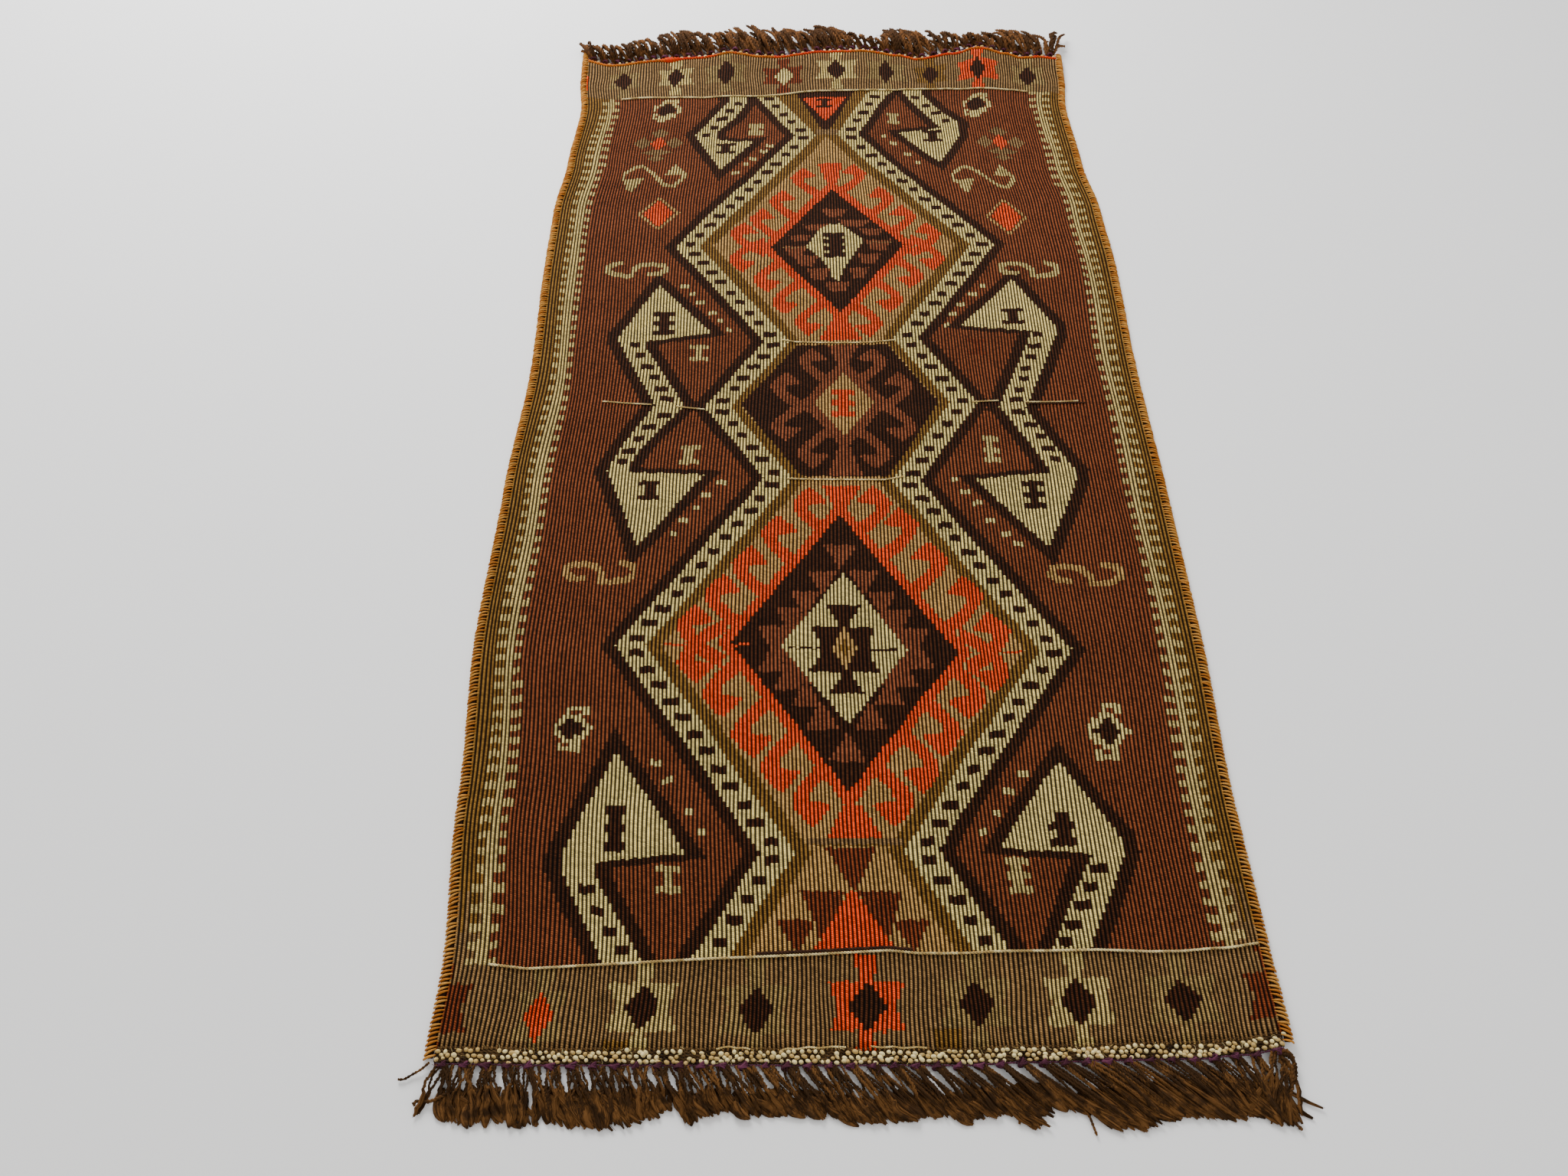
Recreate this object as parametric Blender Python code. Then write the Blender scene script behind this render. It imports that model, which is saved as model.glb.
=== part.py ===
"""Kilim rug, lying flat: a slit-tapestry cloth whose warps show as raised ribs, an overcast
binding down each side, a twined heading and a knotted fringe of warp ends at each end, and
a twined line raised across the cloth at the inner side of each end band.

Metres, Z up. X runs across the rug and Y along it, far end at +Y. In the tables below,
s is the distance along the rug from the outer edge of the near heading, and x the distance
to the right of the rug's centre line.
"""

from math import cos, pi, sin

import bpy
import numpy as np

GAP = 0.0003  # clear space between two pieces
BAYS = 40  # groups of warps, one fringe knot to each
RIBS_PER_BAY = 4
COLUMNS_PER_BAY = 2 * RIBS_PER_BAY  # a valley and a crest to each rib

CREST = 0.0030  # cloth thickness at the top of a rib
VALLEY = 0.0022  # and between two ribs

BINDING_WIDTH = 0.0068
BINDING_HEIGHT = 0.0038
BINDING_REACH = 0.0085  # how far a binding runs past the cloth at each end

NEAR_HEADING_WIDTH = 0.0108
FAR_HEADING_WIDTH = 0.0052
HEADING_SIDE_GAP = 0.0008

LINE_RADIUS = 0.0011
LINE_SIDES = 5
LINE_NEAR_BAYS = (3, 40)  # first and last bay boundary that the line reaches
LINE_FAR_BAYS = (3, 37)

KNOT_STRIP_WIDTH = 0.0032
KNOT_STRIP_HEIGHT = 0.0020
KNOT_HEIGHT = 0.0034
KNOT_SHARE = 0.4  # how far across the strip a knot is highest
NEAR_STRANDS_PER_KNOT = 3
FAR_STRANDS_PER_KNOT = 3
STRAND_CLEAR = 0.0010  # least gap between two strands

# Rows of the cloth: s along the centre line.
ROWS = (0.0113, 0.0700, 0.1900, 0.3400, 0.4900, 0.6400, 0.8000, 0.9600, 1.0860, 1.1545)
NEAR_LINE_ROW = 1
FAR_LINE_ROW = 8

# Outer edges of the two bindings.
OUTLINE = (
    # s, left x, right x
    (0.000, -0.2930, 0.2968),
    (0.060, -0.2902, 0.2962),
    (0.190, -0.2985, 0.2950),
    (0.340, -0.3064, 0.2992),
    (0.490, -0.3030, 0.2989),
    (0.640, -0.2962, 0.2970),
    (0.800, -0.2996, 0.3002),
    (0.880, -0.2994, 0.2975),
    (0.960, -0.2925, 0.2890),
    (1.060, -0.2868, 0.2845),
    (1.120, -0.2925, 0.2900),
    (1.170, -0.2940, 0.2925),
)

# How each end edge strays from straight, along the rug, and how high it lifts.
NEAR_END = (
    # x, stray, lift
    (-0.290, 0.0010, 0.0),
    (-0.200, 0.0000, 0.0),
    (0.070, 0.0000, 0.0),
    (0.115, 0.0020, 0.0),
    (0.228, 0.0040, 0.0),
    (0.260, 0.0064, 0.0005),
    (0.293, 0.0109, 0.0025),
)
FAR_END = (
    # x, stray, lift
    (-0.292, 0.0060, 0.0040),
    (-0.257, -0.0070, 0.0000),
    (-0.200, 0.0020, 0.0008),
    (-0.150, 0.0055, 0.0030),
    (-0.112, 0.0120, 0.0060),
    (-0.080, 0.0105, 0.0020),
    (-0.060, 0.0115, 0.0005),
    (0.000, 0.0160, 0.0050),
    (0.050, 0.0165, 0.0060),
    (0.090, 0.0135, 0.0020),
    (0.115, 0.0090, 0.0000),
    (0.156, 0.0140, 0.0040),
    (0.190, 0.0180, 0.0100),
    (0.222, 0.0130, 0.0055),
    (0.240, 0.0100, 0.0020),
    (0.265, 0.0100, 0.0030),
    (0.290, 0.0050, 0.0035),
)
# Share of each end's stray and lift that is left further in.
FADE_FROM_NEAR = (
    # s, stray share, lift share
    (0.011, 1.00, 1.0),
    (0.070, 0.80, 0.0),
    (0.340, 0.00, 0.0),
)
FADE_FROM_FAR = (
    # s, stray share, lift share
    (0.640, 0.00, 0.0),
    (0.960, 0.35, 0.0),
    (1.086, 0.75, 0.25),
    (1.155, 1.00, 1.0),
)

# Profiles across a heading: share of its width from the cloth outwards, and height.
NEAR_HEADING_PROFILE = (
    # share, height
    (0.00, 0.0000),
    (1.00, 0.0000),
    (1.00, 0.0016),
    (0.84, 0.0034),
    (0.67, 0.0022),
    (0.50, 0.0036),
    (0.33, 0.0023),
    (0.16, 0.0034),
    (0.00, 0.0018),
)
FAR_HEADING_PROFILE = (
    # share, height
    (0.00, 0.0000),
    (1.00, 0.0000),
    (1.00, 0.0016),
    (0.70, 0.0036),
    (0.45, 0.0022),
    (0.22, 0.0031),
    (0.00, 0.0016),
)
# Profile across a binding: share of its width from the cloth outwards, share of its height.
BINDING_PROFILE = (
    # width share, height share
    (0.00, 0.00),
    (1.00, 0.00),
    (1.00, 0.42),
    (0.86, 0.82),
    (0.52, 1.00),
    (0.16, 0.84),
    (0.00, 0.50),
)

# Fringe across the rug: how far its strands reach from their strip, and how many metres
# they lean to the right for each metre of reach.
NEAR_FRINGE = (
    # x, reach, lean
    (-0.290, 0.0320, 0.05),
    (-0.257, 0.0365, 0.25),
    (-0.212, 0.0355, 0.35),
    (-0.167, 0.0372, 0.40),
    (-0.127, 0.0260, 0.45),
    (-0.110, 0.0355, 0.45),
    (-0.037, 0.0310, 0.50),
    (0.009, 0.0345, 0.60),
    (0.050, 0.0262, 0.70),
    (0.069, 0.0345, 0.75),
    (0.100, 0.0290, 0.85),
    (0.125, 0.0380, 0.88),
    (0.153, 0.0415, 0.90),
    (0.189, 0.0380, 0.86),
    (0.215, 0.0340, 0.74),
    (0.250, 0.0380, 0.50),
    (0.290, 0.0400, 0.22),
)
FAR_FRINGE = (
    # x, reach, lean
    (-0.292, 0.0300, -0.15),
    (-0.260, 0.0240, -0.05),
    (-0.204, 0.0340, 0.10),
    (-0.153, 0.0530, 0.15),
    (-0.120, 0.0380, 0.10),
    (-0.081, 0.0560, 0.10),
    (-0.042, 0.0510, 0.15),
    (-0.013, 0.0390, 0.10),
    (0.026, 0.0500, 0.05),
    (0.062, 0.0200, -0.05),
    (0.112, 0.0530, 0.00),
    (0.150, 0.0430, 0.05),
    (0.188, 0.0260, 0.10),
    (0.242, 0.0510, 0.05),
    (0.262, 0.0440, 0.10),
    (0.292, 0.0500, 0.60),
)
# Shape of one strand from its root to its tip.
NEAR_STRAND = (
    # share of reach, width, underside height, thickness, share of full spread
    (0.00, 0.0016, 0.0000, 0.0016, 0.45),
    (0.38, 0.0022, 0.0000, 0.0021, 0.78),
    (0.80, 0.0034, 0.0000, 0.0023, 1.00),
    (1.00, 0.0016, 0.0000, 0.0010, 1.00),
)
FAR_STRAND = (
    # share of reach, width, underside height, thickness, share of full spread
    (0.00, 0.0018, 0.0000, 0.0016, 0.55),
    (0.35, 0.0028, 0.0032, 0.0030, 0.85),
    (0.75, 0.0037, 0.0052, 0.0038, 1.00),
    (1.00, 0.0020, 0.0034, 0.0022, 1.00),
)

COLOURS = {
    # node: base colour, roughness
    "kilim_cloth": ((0.196, 0.060, 0.026), 0.90),
    "binding_left": ((0.520, 0.205, 0.022), 0.85),
    "binding_right": ((0.520, 0.205, 0.022), 0.85),
    "heading_near": ((0.540, 0.470, 0.270), 0.88),
    "heading_far": ((0.560, 0.055, 0.016), 0.88),
    "twined_line_near": ((0.600, 0.520, 0.300), 0.88),
    "twined_line_far": ((0.600, 0.520, 0.300), 0.88),
    "fringe_near": ((0.110, 0.054, 0.021), 0.92),
    "fringe_far": ((0.100, 0.062, 0.032), 0.92),
}


def clear_scene():
    for thing in list(bpy.data.objects):
        bpy.data.objects.remove(thing, do_unlink=True)


def looked_up(table, at, column):
    """A column of a table at one or more values of its first column, joined smoothly."""
    keys = np.array([row[0] for row in table])
    values = np.array([row[column] for row in table])
    at = np.clip(np.asarray(at, float), keys[0], keys[-1])
    low = np.clip(np.searchsorted(keys, at, side="right") - 1, 0, len(keys) - 2)
    share = (at - keys[low]) / (keys[low + 1] - keys[low])
    eased = share * share * (3.0 - 2.0 * share)
    return values[low] + (values[low + 1] - values[low]) * eased


def bay_row(s):
    """The underside of the cloth at each bay boundary, at distance s: an array of points."""
    inset = BINDING_WIDTH + GAP
    left = looked_up(OUTLINE, s, 1) + inset
    right = looked_up(OUTLINE, s, 2) - inset
    x = left + (right - left) * np.arange(BAYS + 1) / BAYS
    y = np.full(BAYS + 1, float(s))
    z = np.zeros(BAYS + 1)
    for end, fade in ((NEAR_END, FADE_FROM_NEAR), (FAR_END, FADE_FROM_FAR)):
        y += looked_up(end, x, 1) * looked_up(fade, s, 1)
        z += looked_up(end, x, 2) * looked_up(fade, s, 2)
    return np.stack([x, y, z], axis=1)


def split_bays(row, pieces):
    """The same row with each bay cut into equal lengths."""
    whole = np.arange(len(row))
    fine = np.arange((len(row) - 1) * pieces + 1) / pieces
    return np.stack([np.interp(fine, whole, row[:, axis]) for axis in range(3)], axis=1)


def material_for(name):
    colour, roughness = COLOURS[name]
    material = bpy.data.materials.new(name)
    material.use_nodes = True
    shader = material.node_tree.nodes["Principled BSDF"]
    shader.inputs["Base Color"].default_value = (*colour, 1.0)
    shader.inputs["Roughness"].default_value = roughness
    return material


def add_solid(name, points, faces):
    mesh = bpy.data.meshes.new(name)
    mesh.from_pydata([tuple(map(float, point)) for point in points], [], faces)
    mesh.materials.append(material_for(name))
    mesh.validate()
    solid = bpy.data.objects.new(name, mesh)
    bpy.context.scene.collection.objects.link(solid)
    return solid


def joined_rings(rings):
    """Points and faces of one closed form through rings of points, wound alike."""
    size = len(rings[0])
    points = [point for ring in rings for point in ring]
    faces = [tuple(range(size))[::-1]]
    for first in range(0, len(points) - size, size):
        for here in range(size):
            after = (here + 1) % size
            faces.append((first + here, first + after, first + size + after, first + size + here))
    faces.append(tuple(range(len(points) - size, len(points))))
    return points, faces


def build_cloth():
    """The cloth: ribs raised along the top, and an underside of one face a bay and row."""
    under = [bay_row(s) for s in ROWS]
    relief = np.where(np.arange(BAYS * COLUMNS_PER_BAY + 1) % 2, CREST, VALLEY)
    top = [split_bays(row, COLUMNS_PER_BAY) + relief[:, None] * (0, 0, 1) for row in under]
    points = [*np.concatenate(top), *np.concatenate(under)]
    wide = len(top[0])
    first_under = wide * len(ROWS)
    narrow = BAYS + 1
    faces = []
    for row in range(len(ROWS) - 1):
        for column in range(wide - 1):
            at = row * wide + column
            faces.append((at, at + 1, at + 1 + wide, at + wide))
        for bay in range(BAYS):
            at = first_under + row * narrow + bay
            faces.append((at, at + narrow, at + 1 + narrow, at + 1))
        for top_side, under_side, turned in ((0, 0, False), (wide - 1, BAYS, True)):
            above = row * wide + top_side
            below = first_under + row * narrow + under_side
            face = (above, above + wide, below + narrow, below)
            faces.append(face[::-1] if turned else face)
    for row, turned in ((0, False), (len(ROWS) - 1, True)):
        for bay in range(BAYS):
            below = first_under + row * narrow + bay
            above = row * wide + bay * COLUMNS_PER_BAY
            middle = above + COLUMNS_PER_BAY // 2
            fan = [(below, below + 1, middle)]
            for step in range(COLUMNS_PER_BAY // 2):
                fan.append((below, above + step + 1, above + step))
                fan.append((below + 1, middle + step + 1, middle + step))
            faces += [face[::-1] if turned else face for face in fan]
    add_solid("kilim_cloth", points, faces)


def build_binding(name, side):
    """A bar of half-round section down one side; side is -1 for the left and 1 for the right."""
    distances = (ROWS[0] - BINDING_REACH, *ROWS, ROWS[-1] + BINDING_REACH)
    rings = []
    for s in distances:
        row = bay_row(min(max(s, ROWS[0]), ROWS[-1]))
        edge = row[-1 if side > 0 else 0] + np.array((side * GAP, 0.0, 0.0))
        edge[1] += s - min(max(s, ROWS[0]), ROWS[-1])
        rings.append(
            [
                edge + np.array((side * wide * BINDING_WIDTH, 0.0, high * BINDING_HEIGHT))
                for wide, high in BINDING_PROFILE
            ]
        )
    points, faces = joined_rings(rings)
    add_solid(name, points, faces if side < 0 else [face[::-1] for face in faces])


def build_heading(name, row, outward, width, profile):
    """A twined strip along one end; outward is -1 at the near end and 1 at the far end."""
    edge = bay_row(ROWS[row])
    for end, beside in ((0, 1), (-1, -2)):
        along = edge[beside] - edge[end]
        edge[end] += along * HEADING_SIDE_GAP / abs(along[0])
    rings = [
        [
            point + np.array((0.0, outward * (GAP + share * width), height))
            for share, height in profile
        ]
        for point in edge
    ]
    points, faces = joined_rings(rings)
    add_solid(name, points, faces if outward > 0 else [face[::-1] for face in faces])


def build_line(name, row, bays):
    """A cord laid across the tops of the ribs."""
    rise = CREST + GAP + LINE_RADIUS
    rings = []
    for point in bay_row(ROWS[row])[bays[0] : bays[1] + 1]:
        ring = []
        for step in range(LINE_SIDES):
            angle = 2.0 * pi * step / LINE_SIDES + pi / 2.0
            offset = (0.0, LINE_RADIUS * cos(angle), rise + LINE_RADIUS * sin(angle))
            ring.append(point + np.array(offset))
        rings.append(ring)
    points, faces = joined_rings(rings)
    add_solid(name, points, faces)


def strand_rings(root, slope, spread, table, shape, outward, pitch):
    """The four-sided sections of one strand, from its root on the strip to its tip."""
    at = root[0] + spread
    reach = float(looked_up(table, at, 1))
    lean_before, lean, lean_after = looked_up(table, (at - pitch, at, at + pitch), 2)
    closing = reach * min(0.0, lean_after - lean, lean - lean_before)
    rings = []
    for share, width, low, thick, spread_share in shape:
        offset = spread * spread_share + lean * share * reach
        half = 0.5 * min(width, pitch * spread_share + closing * share - STRAND_CLEAR)
        ring = []
        for side, high in ((-half, 0.0), (half, 0.0), (half, thick), (-half, thick)):
            along = (offset + side) * slope * (1.0 - share)
            floor = (root[2] + along[2]) * (1.0 - share) + low
            y = root[1] + along[1] + outward * share * reach
            ring.append((root[0] + offset + side, y, floor + high))
        rings.append(ring)
    return rings


def build_fringe(name, row, outward, heading_width, per_knot, table, shape):
    """A strip of knots, one to a bay, with the strands that grow from its outer face."""
    edge = bay_row(ROWS[row]) + np.array((0.0, outward * (heading_width + 2.0 * GAP), 0.0))
    across = np.array((0.0, outward * KNOT_STRIP_WIDTH, 0.0))
    up = np.array((0.0, 0.0, KNOT_STRIP_HEIGHT))
    points, faces = [], []

    def add(point):
        points.append(tuple(point))
        return len(points) - 1

    def add_face(*corners):
        faces.append(corners[::-1] if outward < 0 else corners)

    inner = [(add(point), add(point + up)) for point in edge]
    outer = [(add(point + across), add(point + across + up)) for point in edge]
    add_face(inner[0][0], inner[0][1], outer[0][1], outer[0][0])
    add_face(outer[-1][0], outer[-1][1], inner[-1][1], inner[-1][0])
    for bay in range(BAYS):
        length = edge[bay + 1] - edge[bay]
        slope = length / length[0]
        pitch = length[0] / per_knot
        middle = edge[bay] + length / 2.0
        under = add(middle + across * KNOT_SHARE)
        knot = add(middle + across * KNOT_SHARE + np.array((0.0, 0.0, KNOT_HEIGHT)))
        low, high = outer[bay]  # the last corner reached along the outer face
        for place in range(per_knot):
            spread = (place - (per_knot - 1) / 2.0) * pitch
            sections = strand_rings(
                middle + across, slope, spread, table, shape, outward, pitch
            )
            rings = [[add(point) for point in section] for section in sections]
            low_left, low_right, high_right, high_left = rings[0]
            add_face(low, high, high_left, low_left)
            add_face(knot, high_left, high)
            add_face(knot, high_right, high_left)
            add_face(under, low, low_left)
            add_face(under, low_left, low_right)
            for near, far in zip(rings, rings[1:]):
                for side in range(4):
                    after = (side + 1) % 4
                    add_face(near[after], near[side], far[side], far[after])
            add_face(*rings[-1][::-1])
            low, high = low_right, high_right
        last_low, last_high = outer[bay + 1]
        add_face(low, high, last_high, last_low)
        add_face(knot, last_high, high)
        add_face(under, low, last_low)
        back = (inner[bay], inner[bay + 1])
        add_face(back[0][0], back[1][0], back[1][1], back[0][1])
        for first, second in (
            (outer[bay], inner[bay]),
            (inner[bay], inner[bay + 1]),
            (inner[bay + 1], outer[bay + 1]),
        ):
            add_face(knot, first[1], second[1])
            add_face(under, second[0], first[0])
    add_solid(name, points, faces)


def centre_on_floor():
    """Moves every piece alike, so that the whole rug's box stands centred on the origin."""
    solids = list(bpy.data.objects)
    corners = np.array([tuple(v.co) for solid in solids for v in solid.data.vertices])
    low, high = corners.min(axis=0), corners.max(axis=0)
    shift = np.array(((low[0] + high[0]) / 2.0, (low[1] + high[1]) / 2.0, low[2]))
    for solid in solids:
        for vertex in solid.data.vertices:
            vertex.co = tuple(np.array(tuple(vertex.co)) - shift)


def main():
    clear_scene()
    last = len(ROWS) - 1
    build_cloth()
    build_binding("binding_left", -1)
    build_binding("binding_right", 1)
    build_heading("heading_near", 0, -1, NEAR_HEADING_WIDTH, NEAR_HEADING_PROFILE)
    build_heading("heading_far", last, 1, FAR_HEADING_WIDTH, FAR_HEADING_PROFILE)
    build_line("twined_line_near", NEAR_LINE_ROW, LINE_NEAR_BAYS)
    build_line("twined_line_far", FAR_LINE_ROW, LINE_FAR_BAYS)
    build_fringe(
        "fringe_near", 0, -1, NEAR_HEADING_WIDTH, NEAR_STRANDS_PER_KNOT, NEAR_FRINGE, NEAR_STRAND
    )
    build_fringe(
        "fringe_far", last, 1, FAR_HEADING_WIDTH, FAR_STRANDS_PER_KNOT, FAR_FRINGE, FAR_STRAND
    )
    centre_on_floor()


main()
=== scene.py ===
import math

import bpy
import numpy as np
from mathutils import Matrix, Vector


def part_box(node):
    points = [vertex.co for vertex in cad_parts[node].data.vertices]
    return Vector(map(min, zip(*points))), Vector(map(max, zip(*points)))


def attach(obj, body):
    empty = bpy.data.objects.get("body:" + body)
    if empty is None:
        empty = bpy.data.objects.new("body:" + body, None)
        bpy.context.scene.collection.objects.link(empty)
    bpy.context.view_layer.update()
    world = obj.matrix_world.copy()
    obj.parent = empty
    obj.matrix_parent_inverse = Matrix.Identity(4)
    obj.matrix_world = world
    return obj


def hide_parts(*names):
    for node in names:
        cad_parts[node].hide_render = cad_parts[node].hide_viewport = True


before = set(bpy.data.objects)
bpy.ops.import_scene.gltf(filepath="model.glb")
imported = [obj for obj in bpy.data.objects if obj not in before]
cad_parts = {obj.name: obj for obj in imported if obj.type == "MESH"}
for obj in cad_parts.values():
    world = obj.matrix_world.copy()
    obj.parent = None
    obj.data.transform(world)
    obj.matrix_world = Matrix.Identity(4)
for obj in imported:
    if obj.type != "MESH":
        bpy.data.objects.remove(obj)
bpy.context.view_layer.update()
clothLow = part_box("kilim_cloth")[0]
print("frame loaded")


# Nodes from Python
class Wire:
    # a node's output socket, with the sums that shaders and geometry need
    def __init__(self, graph, socket):
        self.graph, self.socket = graph, socket

    def maths(self, operation, *others):
        return self.graph.add("ShaderNodeMath", {"operation": operation}, dict(enumerate((self, *others))))

    def __add__(self, other):
        return self.maths("ADD", other)

    def __sub__(self, other):
        return self.maths("SUBTRACT", other)

    def __rsub__(self, other):
        return self.maths("MULTIPLY", -1.0) + other

    def __mul__(self, other):
        return self.maths("MULTIPLY", other)

    def __truediv__(self, other):
        return self.maths("DIVIDE", other)

    def __rtruediv__(self, other):
        return self.maths("POWER", -1.0) * other

    def __abs__(self):
        return self.maths("ABSOLUTE")

    __radd__ = __add__
    __rmul__ = __mul__


class Graph:
    # one node tree; add() makes any node: settings first, then the values or links of its sockets
    def __init__(self, tree):
        self.tree = tree

    def add(self, kind, settings=None, sockets=None, output=0):
        node = self.tree.nodes.new(kind)
        for name, value in (settings or {}).items():
            setattr(node, name, value)
        for name, value in (sockets or {}).items():
            if isinstance(value, Wire):
                self.tree.links.new(value.socket, node.inputs[name])
            else:
                node.inputs[name].default_value = value
        return Wire(self, node.outputs[output])

    def other(self, wire, output):
        return Wire(self, wire.socket.node.outputs[output])

    def vector(self, x, y, z):
        return self.add("ShaderNodeCombineXYZ", None, {0: x, 1: y, 2: z})

    def vectors(self, operation, first, second):
        sockets = {0: first, "Scale" if operation == "SCALE" else 1: second}
        return self.add("ShaderNodeVectorMath", {"operation": operation}, sockets)

    def mixColours(self, factor, first, second):
        return self.add("ShaderNodeMix", {"data_type": "RGBA"}, {0: factor, 6: first, 7: second}, 2)


def linear(*shade):
    # scene colour of an sRGB colour given from 0 to 255
    shade = np.array(shade) / 255.0
    return (*np.where(shade < 0.04045, shade / 12.92, ((shade + 0.055) / 1.055) ** 2.4), 1.0)


class Finish(Graph):
    # a material with a Principled shader
    def __init__(self, name, roughness, specular):
        self.material = bpy.data.materials.new(name)
        self.material.use_nodes = True
        super().__init__(self.material.node_tree)
        self.shader = self.tree.nodes["Principled BSDF"]
        self.shader.inputs["Roughness"].default_value = roughness
        self.shader.inputs["Specular IOR Level"].default_value = specular
        self.where = self.add("ShaderNodeTexCoord", None, None, "Object")

    def feed(self, socket, wire):
        self.tree.links.new(wire.socket, self.shader.inputs[socket])

    def read(self, name, output="Fac"):
        return self.add("ShaderNodeAttribute", {"attribute_name": name}, None, output)

    def noise(self, where, scale, detail=3.0, roughness=0.55):
        sockets = {"Vector": where, "Scale": scale, "Detail": detail, "Roughness": roughness}
        return self.add("ShaderNodeTexNoise", None, sockets, "Fac")

    def steps(self, wire, low, high):
        # 0 below low, 1 above high, smooth between
        sockets = {"Value": wire, "From Min": low, "From Max": high}
        return self.add("ShaderNodeMapRange", {"interpolation_type": "SMOOTHSTEP"}, sockets)

    def bump(self, height, distance):
        sockets = {"Height": height, "Distance": distance, "Strength": 0.9}
        self.feed("Normal", self.add("ShaderNodeBump", None, sockets))


class Grower(Graph):
    # a Geometry Nodes tree with named inputs
    def __init__(self, name, **inputs):
        super().__init__(bpy.data.node_groups.new(name, "GeometryNodeTree"))
        self.labels = ["Geometry", *inputs]
        self.addSocket("Geometry", "Geometry")
        for label, value in inputs.items():
            self.addSocket(label, "Int" if isinstance(value, int) else "Float").default_value = value
        self.addSocket("Geometry", "Geometry", "OUTPUT")
        self.start = self.add("NodeGroupInput")

    def addSocket(self, label, kind, way="INPUT"):
        return self.tree.interface.new_socket(label, in_out=way, socket_type="NodeSocket" + kind)

    def given(self, label):
        return self.other(self.start, self.labels.index(label))

    def random(self, low, high, number):
        sockets = {2: low, 3: high, "Seed": self.given("seed") + number}
        return self.add("FunctionNodeRandomValue", {"data_type": "FLOAT"}, sockets, 1)

    def store(self, geometry, name, value, domain="POINT"):
        sockets = {0: geometry, "Name": name, "Value": value}
        return self.add("GeometryNodeStoreNamedAttribute", {"data_type": "FLOAT", "domain": domain}, sockets)

    def named(self, name):
        return self.add("GeometryNodeInputNamedAttribute", {"data_type": "FLOAT"}, {"Name": name})

    def moved(self, geometry, **sockets):
        return self.add("GeometryNodeTransform", None, {0: geometry, **sockets})

    def smooth(self, geometry):
        return self.add("GeometryNodeSetShadeSmooth", None, {0: geometry})

    def circle(self, points):
        return self.add("GeometryNodeCurvePrimitiveCircle", None, {"Resolution": points, "Radius": 1.0})

    def curve(self, spacing=None):
        # the given paths as curves, with a point at each step of this input
        made = self.add("GeometryNodeMeshToCurve", None, {0: self.given("Geometry")})
        if spacing:
            sockets = {0: made, "Length": self.given(spacing)}
            made = self.add("GeometryNodeResampleCurve", {"mode": "LENGTH"}, sockets)
        return self.add("GeometryNodeSetCurveNormal", {"mode": "Z_UP"}, {0: made})

    def tube(self, curve, sides, thick, flat=1.0, groove=0.0):
        # a closed tube along a curve; its material can tell "around" and "along"
        profile, factor = self.circle(sides), self.add("GeometryNodeSplineParameter")
        profile = self.store(profile, "around", (factor * (2.0 * math.pi)).maths("COSINE"))
        shrunk = 1.0 - self.add("GeometryNodeInputIndex").maths("MODULO", 2.0) * groove
        place = self.vectors("SCALE", self.add("GeometryNodeInputPosition"), shrunk)
        profile = self.add("GeometryNodeSetPosition", None, {0: profile, "Position": place})
        profile = self.moved(profile, Scale=self.vector(1.0, flat, 1.0))
        curve = self.store(curve, "along", self.add("GeometryNodeSplineParameter", None, None, 1))
        sockets = {0: curve, 1: profile, "Scale": thick, "Fill Caps": True}
        return self.smooth(self.add("GeometryNodeCurveToMesh", None, sockets))

    def together(self, geometries):
        join = self.tree.nodes.new("GeometryNodeJoinGeometry")
        for wire in geometries:
            self.tree.links.new(wire.socket, join.inputs[0])
        return Wire(self, join.outputs[0])

    def scatter(self, points, model, turn, size):
        # copies of a model at each point, with a tone of their own
        sockets = {"Points": points, "Instance": model, "Rotation": turn, "Scale": size}
        copies = self.add("GeometryNodeInstanceOnPoints", None, sockets)
        return self.store(copies, "tone", self.random(0.0, 1.0, 9), "INSTANCE")

    def close(self, geometry):
        made = self.add("GeometryNodeRealizeInstances", None, {0: geometry})
        self.painter = self.add("GeometryNodeSetMaterial", None, {0: made}).socket.node
        self.tree.links.new(self.painter.outputs[0], self.tree.nodes.new("NodeGroupOutput").inputs[0])

    def make(self, name, start, material, **values):
        # runs the tree on a mesh of paths, and keeps what it makes as a plain mesh
        self.painter.inputs["Material"].default_value = material
        holder = addPiece(name + "_paths", start)
        modifier = holder.modifiers.new("grow", "NODES")
        modifier.node_group = self.tree
        for item in self.tree.interface.items_tree:
            if item.in_out == "INPUT" and item.name in values:
                modifier[item.identifier] = values[item.name]
        depsgraph = bpy.context.evaluated_depsgraph_get()
        mesh = bpy.data.meshes.new_from_object(
            holder.evaluated_get(depsgraph), preserve_all_data_layers=True, depsgraph=depsgraph
        )
        mesh.name = name
        bpy.data.objects.remove(holder)
        piece = addPiece(name, mesh)
        print(name + ":", len(mesh.polygons), "faces")
        return piece


def addPiece(name, mesh, material=None):
    piece = bpy.data.objects.new(name, mesh)
    bpy.context.scene.collection.objects.link(piece)
    if material:
        mesh.materials.clear()
        mesh.materials.append(material)
    return piece


def fasten(piece, slot, *nodes):
    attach(piece, "root")
    if nodes:
        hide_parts(*nodes)
    return piece


def setLayer(mesh, name, kind, domain, values):
    layer = mesh.attributes.new(name, kind, domain)
    layer.data.foreach_set("color" if kind == "FLOAT_COLOR" else "value", values)


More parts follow.
